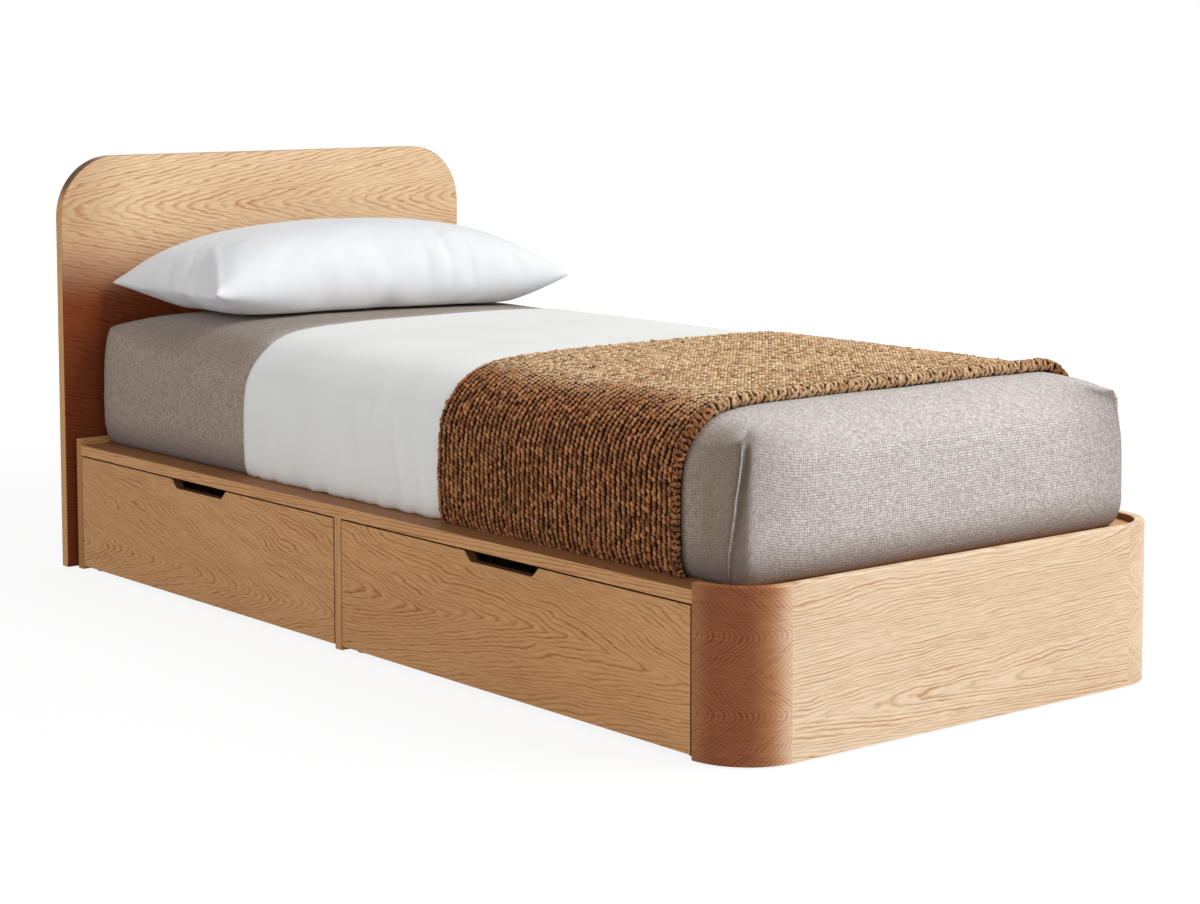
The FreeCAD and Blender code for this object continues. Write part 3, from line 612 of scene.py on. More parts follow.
def ring_point(u, v, draw):
    """A point of the cover's outline, from a point of a square, at a draw-in."""
    half_x, half_y = mattress_half_x - draw, mattress_half_y - draw
    radius = min(corner_radius(v > 0, draw), half_x)
    x, y = (half * (1 - (1 - abs(way)) ** column_power) for half, way in ((half_x, u), (half_y, v)))
    over_x, over_y = x - half_x + radius, y - half_y + radius
    if radius > 0 and over_x > 0 and over_y > 0:
        angle = 0.25 * math.pi * (over_y / radius if abs(u) >= abs(v) else 2 - over_x / radius)
        x, y = half_x - radius + radius * math.cos(angle), half_y - radius + radius * math.sin(angle)
    return math.copysign(x, u), mattress_middle + math.copysign(y, v)


def new_object(name, data):
    made = bpy.data.objects.new(name, data)
    bpy.context.collection.objects.link(made)
    return made


def new_mesh(name, points, faces, cloth=None):
    """An object from points and faces, with a place on the cloth for each corner of a face if given."""
    mesh = bpy.data.meshes.new(name)
    mesh.from_pydata(points, [], faces)
    if cloth:
        layer = mesh.uv_layers.new(name="cloth").data
        corners = [place for face in cloth for place in face]
        for corner, place in zip(layer, corners):
            corner.uv = place
    mesh.polygons.foreach_set("use_smooth", [True] * len(mesh.polygons))
    return new_object(name, mesh)


foot_seam_angle = math.radians(40)
foot_seam_lean = math.radians(62)
lean_share = 0.75
head_seam_angle = math.radians(50)
# Each crease beside a seam: its place beside the seam, width and depth
creases = ((0.0055, 0.0050, 0.0065), (0.016, 0.034, 0.0055), (-0.026, 0.018, 0.0016))
crease_length_in = 0.05
crease_end = 0.10
seam_reach = 0.22
seam_foot_share = 0.02
# A crease's depth at the deck, as a share of its depth at the top
low_strength = 0.35
peak_reach = 0.020
peak_rise = 0.005
peak_out = 0.004
slack_height = 0.0022
slack_start = 0.004
# Painted shade in the hollow beside a seam: a broad one and a dark line, each with its strength and width
hollow_broad, open_width, behind_width = 0.62, 0.115, 0.014
hollow_line, line_place, line_width = 0.90, 0.0065, 0.009


def cover_slack(point, out):
    """Small uneven swells of the cover."""
    swell = noise.noise(point * 5.0) * slack_height + noise.noise(point * 13.0) * 0.35 * slack_height
    return point + out * swell


def mattress_mesh():
    """The crowned top as a grid of rings, the sides as levels below its border, and the underside."""
    across, along, levels = cover_across, cover_along, cover_levels
    points, rows = [], {}
    for i in range(across + 1):
        for j in range(along + 1):
            ring = min(i, across - i, j, along - j)
            draw = edge_draw + (mattress_half_x - edge_draw) * (ring / (across / 2)) ** ring_power
            u = (2 * i - across) / max(across - 2 * ring, 1)
            v = (2 * j - along) / max(along - 2 * ring, 1)
            x, y = ring_point(u, v, draw)
            rows["top", i, j] = len(points)
            points.append(Vector((far_side(x, y), y, top_height(x, y))))
    border = [(i, 0) for i in range(across)] + [(across, j) for j in range(along)]
    border += [(i, along) for i in range(across, 0, -1)] + [(0, j) for j in range(along, 0, -1)]
    count = len(border)
    for n, (i, j) in enumerate(border):
        rows["side", levels, n] = rows["top", i, j]
        rim_rise = points[rows["top", i, j]].z - mattress_low.z
        for level in range(levels):
            share = level / levels
            x, y = ring_point(2 * i / across - 1, 2 * j / along - 1, through(side_draws, share))
            rows["side", level, n] = len(points)
            points.append(Vector((far_side(x, y), y, mattress_low.z + rim_rise * share)))
    faces, cloth = [], []
    for i in range(across):
        for j in range(along):
            face = [rows["top", a, b] for a, b in ((i, j), (i + 1, j), (i + 1, j + 1), (i, j + 1))]
            faces.append(face)
            cloth.append([cloth_place(*points[k][:2]) for k in face])
    for level in range(levels):
        for n in range(count):
            m = (n + 1) % count
            corners = ((level, n), (level, m), (level + 1, m), (level + 1, n))
            faces.append([rows["side", row, column] for row, column in corners])
            on_end = border[n][1] == border[m][1] and border[n][1] in (0, along)
            spots = []
            for k, (_, column) in zip(faces[-1], corners):
                rim = points[rows["side", levels, column]]
                drop = rim.z - points[k].z
                u, v = cloth_place(rim.x, rim.y)
                spots.append((u, v + math.copysign(drop, v)) if on_end else (u + math.copysign(drop, u), v))
            cloth.append(spots)
    centre = len(points)
    points.append(Vector((0, mattress_middle, mattress_low.z)))
    for n in range(count):
        faces.append([rows["side", 0, (n + 1) % count], rows["side", 0, n], centre])
        cloth.append([tuple(points[k][:2]) for k in faces[-1]])
    return new_mesh("mattress_cover", points, faces, cloth)


def corner_signs():
    for sign_x in (-1, 1):
        for sign_y in (-1, 1):
            yield sign_x, sign_y


def seam_line(sign_x, sign_y, share):
    """A point of a corner seam at a share of the side's height, and the way out from it."""
    draw = through(side_draws, share)
    radius = corner_radius(sign_y > 0, draw)
    foot_angle = foot_seam_angle - foot_seam_lean * min((1 - share) / lean_share, 1.0)
    angle = head_seam_angle if sign_y > 0 else foot_angle
    slide = radius * min(angle, 0.0)
    angle = max(angle, 0.0)
    out = Vector((sign_x * math.cos(angle), sign_y * math.sin(angle), 0))
    x = sign_x * (mattress_half_x - draw - radius) + radius * out.x
    y = mattress_middle + sign_y * (mattress_half_y - draw - radius + slide) + radius * out.y
    height = top_height(x, y) - mattress_low.z
    return Vector((far_side(x, y), y, mattress_low.z + share * height)), out


def crease_depth(off):
    """How far the cover is drawn in at a distance beside a seam."""
    return sum(depth * bell(off - place, width) for place, width, depth in creases)


def crease_strength(share):
    return low_strength + (1 - low_strength) * share


def press_creases(cover):
    """Draws the cover in beside each seam, lifts it to a peak there, lets it swell a little and stores
    painted shade for the hollow.
    """
    hollow = cover.data.attributes.new("hollow", "FLOAT", "POINT").data
    normals = [vertex.normal.copy() for vertex in cover.data.vertices]
    for vertex, normal in zip(cover.data.vertices, normals):
        point = vertex.co.copy()
        shade = 0.0
        if point.z > mattress_low.z + slack_start:
            point = cover_slack(point, normal)
        for signs in corner_signs():
            top, way = seam_line(*signs, 1.0)
            share = (point.z - mattress_low.z) / (top.z - mattress_low.z)
            line, way = seam_line(*signs, within(share))
            reach = (point - line).length
            if reach > seam_reach or share < seam_foot_share:
                continue
            beside = Vector((-way.y, way.x, 0)) * signs[0] * signs[1]
            off = (point - line).dot(beside)
            strength = crease_strength(min(share, 1.0)) * bell(max(share - 1.0, 0.0), crease_end)
            near = bell((point - line).dot(way), crease_length_in)
            point -= way * crease_depth(off) * strength * near
            pull = bell((point - top).length, peak_reach) * (signs[1] < 0)
            point += (Vector((0, 0, peak_rise)) + way * peak_out) * pull
            # Painted shade for the hollow beside the seam, stored in the hollow attribute
            broad = hollow_broad * bell(reach, open_width if off > 0 else behind_width)
            shade += strength * (broad + hollow_line * near * bell(off - line_place, line_width))
        vertex.co = point
        hollow[vertex.index].value = min(shade, 1.0)


mattress = mattress_mesh()
press_creases(mattress)

fold_steps = 60
fold_start, fold_run, fold_end = 0.03, 0.98, 1.025
fold_taper = 14
fold_sway = 0.0014
fold_sink = 0.001
fold_uneven = 0.22
# The fold's section: across it and out from the cover
fold_section = (
    (-0.0018, -0.004), (-0.0014, 0.0020), (-0.0006, 0.0042),
    (0.0006, 0.0043), (0.0013, 0.0020), (0.0017, -0.004),
)
# Cloth used up from one edge of the section to the next
fold_cloth = 0.004


def seam_fold(name, sign_x, sign_y):
    """The narrow upstanding fold of a corner seam, which ends in a small peak of cloth at the top."""
    points, faces, cloth = [], [], []
    top, _ = seam_line(sign_x, sign_y, 1.0)
    for step in range(fold_steps + 1):
        share = fold_start + fold_run * step / fold_steps
        line, out = seam_line(sign_x, sign_y, min(share, 1.0))
        beside = Vector((-out.y, out.x, 0))
        sway = fold_sway * waver(share * 7.0, sign_x, sign_y)
        taper = min(1.0, fold_taper * (fold_end - share))
        grow = (1.0 + fold_uneven * waver(share * 11.0, sign_y, 4.0)) * taper
        pull = bell((line - top).length, peak_reach)
        line = line + (Vector((0, 0, peak_rise)) * pull + out * peak_out * pull) * (sign_y < 0)
        line -= out * crease_depth(0.0) * crease_strength(share)
        for across, height in fold_section:
            points.append(line + beside * (across * taper + sway) + out * (height * grow - fold_sink))
    width = len(fold_section)
    for step in range(fold_steps):
        for k in range(width - 1):
            a = step * width + k
            faces.append((a, a + 1, a + width + 1, a + width))
            cloth.append([(fold_cloth * (b % width), points[b].z) for b in faces[-1]])
    return new_mesh(name, points, faces, cloth)


# Threads to a metre, and how unevenly they run
thread_count = 228.0
thread_bend, bend_scale = 0.004, (60.0, 60.0)
# Slubs: how far one thread's differ from the next one's, and changes to a metre along a thread
thread_step, slub_scale = 7.3, 130.0
dark_thread, pale_thread, thread_gap = (0.470, 0.429, 0.402), (0.840, 0.798, 0.770), (0.255, 0.216, 0.194)
linen_cloud, linen_cloud_scale = (0.42, 0.35, 0.30), (5.0, 5.0)
# Painted shade for the sides of the cover, laid over by multiplying
painted_side_shade = (0.69, 0.60, 0.51)
shadow_stain = (0.190, 0.130, 0.088)
# Painted shade for the crease beside each corner seam
painted_crease_shade = (0.130, 0.100, 0.083)
# Painted shade low on the cover above the deck, and how high it reaches
painted_deck_shade = (0.205, 0.165, 0.160)
painted_deck_shade_height = 0.085
# Where the cover darkens beside the throw and below the pillow, along the bed
beside_throw_from, beside_throw_to = -0.94, -0.87
below_pillow_from, below_pillow_to = 0.38, 0.50


def linen_finish():
    finish = Finish("grey_linen", 0.9, gloss=0.10, sheen=0.05)
    u, v, _ = finish.place("UV")
    bend = finish.streaks(u, v, bend_scale, 2.0) - 0.5
    across, down = (u + bend * thread_bend) * thread_count, (v + bend * thread_bend) * thread_count
    warp = finish.streaks(across.whole(), v, (thread_step, slub_scale), 1.0, 1.5).ease(0.30, 0.70)
    weft = finish.streaks(u, down.whole(), (slub_scale, thread_step), 5.0, 1.5).ease(0.30, 0.70)
    gap = (across.fraction() - 0.5).size().ease(0.24, 0.50) + (down.fraction() - 0.5).size().ease(0.24, 0.50)
    thread = 0.5 * warp + 0.5 * weft
    cloud = finish.streaks(u, v, linen_cloud_scale, 12.0, 3.0)
    _, y, z = finish.place()
    side = finish.facing(ACROSS).ease(0.30, 0.85)
    beside_throw = side * (1 - y.ease(beside_throw_from, beside_throw_to))
    below_pillow = finish.facing(UP).ease(0.4, 0.9) * y.ease(below_pillow_from, below_pillow_to)
    hollow = finish.node("ShaderNodeAttribute", {"attribute_name": "hollow"}, {}, "Fac")
    low = 1 - z.ease(mattress_low.z, mattress_low.z + painted_deck_shade_height)
    finish.paint(finish.mix(thread, dark_thread, pale_thread))
    finish.stain(gap * 0.40, thread_gap)
    finish.stain(cloud.ease(0.4, 0.75) * 0.08, linen_cloud)
    # Painted shade on the sides of the cover
    finish.stain(side, painted_side_shade, "MULTIPLY")
    finish.stain(beside_throw * 0.46 + below_pillow * 0.60, shadow_stain)
    # Painted shade in the crease beside each corner seam
    finish.stain(hollow * 0.72, painted_crease_shade)
    # Painted shade, darker towards the bottom of the cover
    finish.stain(low * 0.78, painted_deck_shade)
    finish.relief(thread - 0.5 * gap, 0.0012, 0.8)
    return finish


def wear(piece, finish):
    """Gives a piece its finish and its place on the frame."""
    piece.data.materials.append(finish.material)
    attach(piece, "root")


linen = linen_finish()
seams = [seam_fold(f"mattress_corner_seam_{n}", *signs) for n, signs in enumerate(corner_signs(), 1)]
for piece in (mattress, *seams):
    wear(piece, linen)
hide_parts("mattress")

# Top sheet
# A smooth white cotton sheet laid across the middle of the mattress and pushed down at both sides.
# It pulls into soft slanting folds where it is tucked, and its lower edge ruffles on the deck.
sheet_low, sheet_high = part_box("top_sheet")
throw_low, throw_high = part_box("throw")
sheet_gap = 0.0006
sheet_thickness = 0.0014
side_points, top_points = 24, 72
band_steps, sheet_rows, throw_rows = 190, 150, 66
# Each fold of the near side: place along the bed, height on the side, slant, width and depth
sheet_folds = (
    (0.330, 0.060, -0.60, 0.007, 0.0034),
    (0.285, 0.070, -0.35, 0.009, 0.0042),
    (0.205, 0.090, -0.42, 0.012, 0.0036),
    (0.150, 0.050, -0.75, 0.006, 0.0036),
    (0.085, 0.070, -0.30, 0.009, 0.0038),
    (0.020, 0.120, 0.15, 0.018, 0.0030),
    (-0.030, 0.170, -0.10, 0.014, 0.0034),
    (-0.110, 0.080, 0.25, 0.009, 0.0038),
    (-0.180, 0.060, 0.35, 0.009, 0.0038),
)
fold_half_height = 0.07
even_swell = 0.0012
hem_height = 0.020
hem_ruffle = 0.0060
clear_of_throw = 0.05
deck_clearance = 0.001
# The folds fade out over this stretch of the side
fold_top, fold_fade = 0.18, 0.06


def section_at(y, clearance):
    """The line that a cloth takes over the mattress at y, from one side's foot to the other's."""
    edge = mattress_half_x - edge_draw
    sides = []
    for sign in (-1, 1):
        rim = top_height(sign * edge, y) - mattress_low.z
        shares = [k / side_points for k in range(side_points)]
        draws = [(mattress_half_x - through(side_draws, share), share) for share in shares]
        sides.append([(far_side(sign * x, y), mattress_low.z + rim * share) for x, share in draws])
    line = sides[0]
    for k in range(top_points + 1):
        x = -edge * math.cos(math.pi * k / top_points)
        line.append((far_side(x, y), top_height(x, y)))
    line += reversed(sides[1])
    moved = []
    for k, (x, z) in enumerate(line):
        before, after = line[max(k - 1, 0)], line[min(k + 1, len(line) - 1)]
        way = Vector((after[0] - before[0], after[1] - before[1])).normalized()
        moved.append(Vector((x - way.y * clearance, 0, z + way.x * clearance)))
    return moved


def spaced(line, count):
    """Points at even steps along a line, and the line's length."""
    reach = [0.0]
    for before, after in zip(line, line[1:]):
        reach.append(reach[-1] + (after - before).length)
    made, k = [], 0
    for n in range(count + 1):
        goal = reach[-1] * n / count
        while k < len(line) - 2 and reach[k + 1] < goal:
            k += 1
        part = (goal - reach[k]) / (reach[k + 1] - reach[k])
        made.append(line[k].lerp(line[k + 1], part))
    return made, reach[-1]


def cloth_band(foot_y, head_y, clearance, rows, steps):
    """A grid of points over the bed, and the length of its last row from side to side."""
    grid, length = [], 0.0
    for row in range(rows + 1):
        y = foot_y + (head_y - foot_y) * row / rows
        line, length = spaced(section_at(y, clearance), steps)
        grid.append([Vector((p.x, y, p.z)) for p in line])
    return grid, length


def out_of(grid, row, step):
    """The way out of the cloth at a point of a grid."""
    here = grid[row][min(step + 1, len(grid[row]) - 1)] - grid[row][max(step - 1, 0)]
    over = grid[min(row + 1, len(grid) - 1)][step] - grid[max(row - 1, 0)][step]
    return over.cross(here).normalized() * -1


def band_mesh(name, grid, length, thickness):
    """A grid as a sheet of cloth with its thickness outward."""
    rows, steps = len(grid) - 1, len(grid[0]) - 1
    points = [point for row in grid for point in row]
    places = [(length * k / steps, row[0].y) for row in grid for k in range(steps + 1)]
    faces = []
    for r in range(rows):
        for s in range(steps):
            a = r * (steps + 1) + s
            faces.append((a, a + 1, a + steps + 2, a + steps + 1))
    made = new_mesh(name, points, faces, [[places[k] for k in face] for face in faces])
    solid = made.modifiers.new("thickness", "SOLIDIFY")
    solid.thickness = thickness
    solid.offset = 1.0
    return made


def sheet_swell(y, height, side):
    """How far the sheet stands off its even surface."""
    total = even_swell * (1 + waver(y * 7.0, height * 5.0, side))
    for place, level, slant, width, depth in sheet_folds:
        off = y - place * side - slant * (height - level)
        total += depth * bell(off, width) * bell(height - level, fold_half_height)
    ruffle = 0.6 + waver(y * 30.0, 3.0, side) + 0.5 * waver(y * 75.0, 7.0, side)
    total += bell(height, hem_height) * hem_ruffle * ruffle
    return total * within((y - throw_high.y) / clear_of_throw)


def sheet_piece():
    grid, length = cloth_band(sheet_low.y, sheet_high.y, sheet_gap, sheet_rows, band_steps)
    ways = [[out_of(grid, r, s) for s in range(len(grid[0]))] for r in range(len(grid))]
    for row, outs in zip(grid, ways):
        for point, out in zip(row, outs):
            height = point.z - sheet_low.z
            on_side = 1 - within((height - fold_top) / fold_fade)
            swell = sheet_swell(point.y, height, 1 if point.x < 0 else -1) * on_side
            swell += even_swell * (1 - on_side) * (1 + noise.noise(point * 4.0)) * (point.y > throw_high.y)
            point += out * swell
            point.z = max(point.z, sheet_low.z + deck_clearance)
    return band_mesh("white_top_sheet", grid, length, sheet_thickness), length


cotton_threads = 900.0
cotton_clouds = 6.0


def cotton_finish(name, light, shade):
    finish = Finish(name, 0.75, sheen=0.1)
    x, y, z = finish.place()
    thread = finish.noise((x + z) * cotton_threads, y * cotton_threads, (x - z) * cotton_threads, 1.0)
    dark_thread = tuple(0.9 * level for level in shade)
    finish.paint(finish.mix(finish.specks(cotton_clouds).ease(0.35, 0.7), light, shade))
    finish.stain(thread.ease(0.4, 0.7) * 0.20, dark_thread)
    finish.relief(thread, 0.0002, 0.35)
    return finish


sheet_cotton = cotton_finish("sheet_cotton", (0.850, 0.855, 0.840), (0.815, 0.820, 0.800))
top_sheet, sheet_reach = sheet_piece()
wear(top_sheet, sheet_cotton)
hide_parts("top_sheet")

# Knitted throw
# A heavy throw in ochre and brown yarn, laid across the foot end and down both sides.
# Columns of slanting stitches run over the bed, and a whipped roll finishes the edge at the foot.
throw_gap = 0.0034
ground_thickness = 0.0020
ground_foot_margin, ground_head_margin = 0.004, 0.006
knit_foot_margin, knit_head_margin = 0.008, 0.004
rib_pitch = 0.0124
stitch_rise = 0.0078
yarn_length = 0.0120
yarn_width = 0.0080
yarn_height = 0.0094
edge_pitch = 0.0098
edge_radius = 0.0072
edge_foot_margin, edge_depth = 0.010, 0.004
edge_yarn = {"Length": 0.0175, "Width": 0.0086, "Height": 0.0088, "Seed": 17}
palest_edge = 0.62


def yarn_points(name, places, palest=1.0):
    """Bare points for the yarn, each with the way it runs, the way out, its size and its shade."""
    mesh = bpy.data.meshes.new(name)
    mesh.from_pydata([place for place, _, _, _ in places], [], [])
    for key, index in (("run", 1), ("out", 2)):
        layer = mesh.attributes.new(key, "FLOAT_VECTOR", "POINT").data
        for n, place in enumerate(places):
            layer[n].vector = place[index]
    draw = random.Random(len(places))
    shades = [palest * draw.random() for _ in places]
    for key, values in (("bulk", [place[3] for place in places]), ("shade", shades)):
        mesh.attributes.new(key, "FLOAT", "POINT").data.foreach_set("value", values)
    return new_object(name, mesh)


# Sides and rings of one strand, and the least and most that its length, width and height vary by
strand_sides, strand_rings = 5, 4
least_strand, most_strand = (0.86, 0.84, 0.84), (1.12, 1.14, 1.14)


def stitch_tree():
    """Puts one short strand of yarn on each point, turned along its run."""
    tree = bpy.data.node_groups.new("yarn_strands", "GeometryNodeTree")
    face = tree.interface
    face.new_socket(name="Geometry", in_out="OUTPUT", socket_type="NodeSocketGeometry")
    for name, kind in (
        ("Geometry", "Geometry"), ("Length", "Float"), ("Width", "Float"), ("Height", "Float"),
        ("Seed", "Int"), ("Yarn", "Material"),
    ):
        face.new_socket(name=name, in_out="INPUT", socket_type=f"NodeSocket{kind}")
    graph = Graph(tree)
    given = graph.node("NodeGroupInput", {}, {})
    sockets = {end.name: Socket(graph, end) for end in given.end.node.outputs}
    strand = graph.node(
        "GeometryNodeMeshUVSphere", {}, {"Segments": strand_sides, "Rings": strand_rings, "Radius": 0.5},
    )
    turned = graph.node("GeometryNodeTransform", {}, {"Geometry": strand, "Rotation": (0, math.pi / 2, 0)})
    local = graph.node("GeometryNodeInputPosition", {}, {})
    tip = graph.node("ShaderNodeSeparateXYZ", {}, {0: local}, 2) + 0.5
    turned = graph.node(
        "GeometryNodeStoreNamedAttribute", {"data_type": "FLOAT", "domain": "POINT"},
        {"Geometry": turned, "Name": "tip", "Value": tip},
    )
    named = {
        key: graph.node("GeometryNodeInputNamedAttribute", {"data_type": kind}, {"Name": key}, "Attribute")
        for key, kind in (("run", "FLOAT_VECTOR"), ("out", "FLOAT_VECTOR"), ("bulk", "FLOAT"))
    }
    turn = graph.node("FunctionNodeAlignRotationToVector", {"axis": "X"}, {"Vector": named["run"]})
    turn = graph.node(
        "FunctionNodeAlignRotationToVector", {"axis": "Z", "pivot_axis": "X"},
        {"Rotation": turn, "Vector": named["out"]},
    )
    uneven = graph.node(
        "FunctionNodeRandomValue", {"data_type": "FLOAT_VECTOR"},
        {0: least_strand, 1: most_strand, "Seed": sockets["Seed"]},
    )
    size = graph.node(
        "ShaderNodeCombineXYZ", {},
        {0: sockets["Length"], 1: sockets["Width"], 2: sockets["Height"]},
    )
    size = graph.node("ShaderNodeVectorMath", {"operation": "MULTIPLY"}, {0: size, 1: uneven})
    size = graph.node("ShaderNodeVectorMath", {"operation": "SCALE"}, {0: size, "Scale": named["bulk"]})
    placed = graph.node(
        "GeometryNodeInstanceOnPoints", {},
        {"Points": sockets["Geometry"], "Instance": turned, "Rotation": turn, "Scale": size},
    )
    real = graph.node("GeometryNodeRealizeInstances", {}, {"Geometry": placed})
    smooth = graph.node("GeometryNodeSetShadeSmooth", {}, {"Geometry": real})
    dyed = graph.node("GeometryNodeSetMaterial", {}, {"Geometry": smooth, "Material": sockets["Yarn"]})
    graph.join(dyed, tree.nodes.new("NodeGroupOutput").inputs["Geometry"])
    return tree


def grown(name, points, tree, inputs):
    """Runs a tree on an object and keeps the result as a plain mesh."""
    modifier = points.modifiers.new(name, "NODES")
    modifier.node_group = tree
    keys = {item.name: item.identifier for item in tree.interface.items_tree if item.in_out == "INPUT"}
    for key, value in inputs.items():
        modifier[keys[key]] = value
    seen = points.evaluated_get(bpy.context.evaluated_depsgraph_get())
    mesh = bpy.data.meshes.new_from_object(seen)
    points.modifiers.remove(modifier)
    bpy.data.objects.remove(points)
    mesh.name = name
    return new_object(name, mesh)


# Yarn on the top of the bed, and a darker, redder copy with painted shade for the sides
top_yarn = ((0.460, 0.240, 0.102), (0.950, 0.720, 0.450))
shaded_side_yarn = ((0.180, 0.054, 0.015), (0.610, 0.258, 0.094))
# Half widths of the bed between which the pale top turns to the sides, which have painted shade
side_starts, side_ends = 0.350, 0.410
patch_brown, fluff_brown = (0.330, 0.140, 0.050), (0.20, 0.09, 0.035)
# Painted shade for the root of each strand, where it dips into the knit
painted_root_shade = (0.050, 0.016, 0.006)
shadow_tones = ((0.016, 0.007, 0.004), (0.045, 0.020, 0.009))
yarn_patches, yarn_fluff, shadow_fluff = 9.0, 700.0, 300.0


def yarn_finish():
    finish = Finish("brown_yarn", 0.8, gloss=0.2, sheen=0.05)
    x, _, _ = finish.place()
    patch, fluff = finish.specks(yarn_patches), finish.specks(yarn_fluff)
    tip, shade = (
        finish.node("ShaderNodeAttribute", {"attribute_name": key}, {}, "Fac") for key in ("tip", "shade")
    )
    # Painted shade: the yarn darkens down the sides of the bed
    side = (x.size() + 0.055 * (shade - 0.5) + 0.10 * (patch - 0.5)).ease(side_starts, side_ends)
    finish.paint(finish.mix(side, finish.mix(shade, *top_yarn), finish.mix(shade, *shaded_side_yarn)))
    finish.stain(patch.ease(0.42, 0.7) * 0.20, patch_brown)
    finish.stain(fluff.ease(0.4, 0.65) * 0.25, fluff_brown)
    # Painted shade at the root of each strand
    finish.stain((1 - tip.ease(0.45, 0.84)) * 0.92, painted_root_shade)
    finish.relief(fluff, 0.0006, 0.7)
    return finish


# The dark sheet under the knit is painted shadow: it stands for the shade between the stitches
def shadow_sheet_finish():
    finish = Finish("yarn_shadow", 0.95, gloss=0.10)
    fluff = finish.specks(shadow_fluff)
    finish.paint(finish.mix(fluff, *shadow_tones))
    finish.relief(fluff, 0.001, 0.6)
    return finish


yarn = yarn_finish()
ground_grid, throw_reach = cloth_band(
    throw_low.y + ground_foot_margin, throw_high.y - ground_head_margin, throw_gap, throw_rows, band_steps,
)
# The painted shadow sheet under the knit
throw = band_mesh("throw_shadow_sheet", ground_grid, throw_reach, ground_thickness)
wear(throw, shadow_sheet_finish())

knit_clearance = throw_gap + ground_thickness + 0.25 * yarn_height
knit_foot, knit_head = throw_low.y + knit_foot_margin, throw_high.y - knit_head_margin
rib_count = round((knit_head - knit_foot) / rib_pitch)
stitch_count = round(throw_reach / stitch_rise)
knit_grid, _ = cloth_band(knit_foot, knit_head, knit_clearance, 2 * rib_count, 2 * stitch_count)
# How a stitch slants, and how far it strays beside its column, out of it and from its run
stitch_slant = 0.52
column_sway, stitch_stray = 0.0022, 0.0026
sway_turn, kink_turn, jog_turn = 0.3, 0.55, 0.22
stitch_growth = 0.22


def knit_places():
    """One slanting strand for each stitch of each column, as in a loose rope."""
    places = []
    for rib in range(rib_count):
        row = 2 * rib + 1
        for stitch in range(stitch_count):
            step = 2 * stitch + rib % 2
            here, ahead = knit_grid[row][step], knit_grid[row][step + 1]
            out = out_of(knit_grid, row, step)
            way = (ahead - here).normalized()
            beside = out.cross(way)
            sway = waver(here.y * 9.0, step * 0.11, 2.0)
            jog = waver(rib * 3.7, step * 0.9, 5.0)
            kink = waver(rib * 9.1, step * 2.3, 8.0)
            place = here.lerp(ahead, 0.5 + 0.5 * jog)
            place += beside * (column_sway * sway + stitch_stray * jog) + out * (stitch_stray * kink)
            slant = beside * (stitch_slant + sway_turn * sway + kink_turn * kink)
            run = (way + slant + out * jog_turn * jog).normalized()
            places.append((place, run, out, 1.0 + stitch_growth * jog))
    return places


strands = stitch_tree()
all_places = knit_places()
# The knit is cut into three pieces: each one's name, and where it starts and ends across the bed
knit_parts = ("near", -1.0, -0.30), ("middle", -0.30, 0.15), ("far", 0.15, 1.0)
knit_inputs = {"Length": yarn_length, "Width": yarn_width, "Height": yarn_height, "Yarn": yarn.material}
knit = []
for seed, (name, low, high) in enumerate(knit_parts, 11):
    part = yarn_points(f"{name}_points", [place for place in all_places if low <= place[0].x < high])
    knit.append(grown(f"throw_knit_{name}", part, strands, {**knit_inputs, "Seed": seed}))

# Angles of the four strands that go round the edge at each step, and how far they stray
wrap_degrees, wrap_stray = (-115, -62, -8, 46), 9
# How far a strand leans along the edge, how far every third one leans back, and how far they shift
wrap_lean, lean_back, wrap_shift = (0.25, 0.75), -0.8, 0.25
# Size of the strands: the base, what is added on top of the bed, and how unevenly
base_bulk, added_bulk, bulk_stray = 0.66, 0.38, 0.08
# The roll thins down the sides of the mattress, from the top of this run of heights
thin_height, thin_run, thinnest = 0.42, 0.08, 0.30
slimmest_roll = 0.45
roll_lift = 0.55


def edge_places():
    """Short thick strands wound round the foot edge, as in a whipped rope."""
    count = round(throw_reach / edge_pitch)
    foot = throw_low.y + edge_foot_margin
    line, _ = cloth_band(foot, foot + edge_depth, knit_clearance, 1, count)
    draw = random.Random(5)
    places = []
    for n in range(1, count):
        here = line[0][n]
        out = out_of(line, 0, n)
        way = (line[0][n + 1] - line[0][n - 1]).normalized()
        beside = out.cross(way)
        if beside.y > 0:
            beside = -beside
        on_top = within((here.z - thin_height) / thin_run, thinnest)
        radius = edge_radius * (slimmest_roll + (1 - slimmest_roll) * on_top)
        for number, degrees in enumerate(wrap_degrees):
            angle = math.radians(degrees + draw.uniform(-wrap_stray, wrap_stray))
            face = out * math.cos(angle) - beside * math.sin(angle)
            round_it = face.cross(way).normalized()
            slant = draw.uniform(*wrap_lean) * (1 if (n + number) % 3 else lean_back)
            run = (round_it + way * slant).normalized()
            shift = way * edge_pitch * draw.uniform(-wrap_shift, wrap_shift)
            centre = here + out * (radius * roll_lift) + shift
            bulk = base_bulk + added_bulk * on_top + draw.uniform(-bulk_stray, bulk_stray)
            places.append((centre + face * radius, run, face, bulk))
    return places


edge_points = yarn_points("edge_points", edge_places(), palest_edge)
edge = grown("throw_whipped_edge", edge_points, strands, {**edge_yarn, "Yarn": yarn.material})
for piece in (*knit, edge):
    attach(piece, "root")
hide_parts("throw")

# Pillow
# A soft filled pillow in a plain white cotton case, sewn round its edge with pointed corners.
# It lies on the mattress with its rear edge a little higher, and its front corners pull into folds.
pillow_front_left = Vector((-0.414, 0.592, 0.608))
pillow_front_right = Vector((0.388, 0.436, 0.622))
pillow_rear_left = Vector((-0.422, 1.020, 0.613))
pillow_rear_right = Vector((0.352, 0.900, 0.640))
pillow_across, pillow_deep = 96, 60
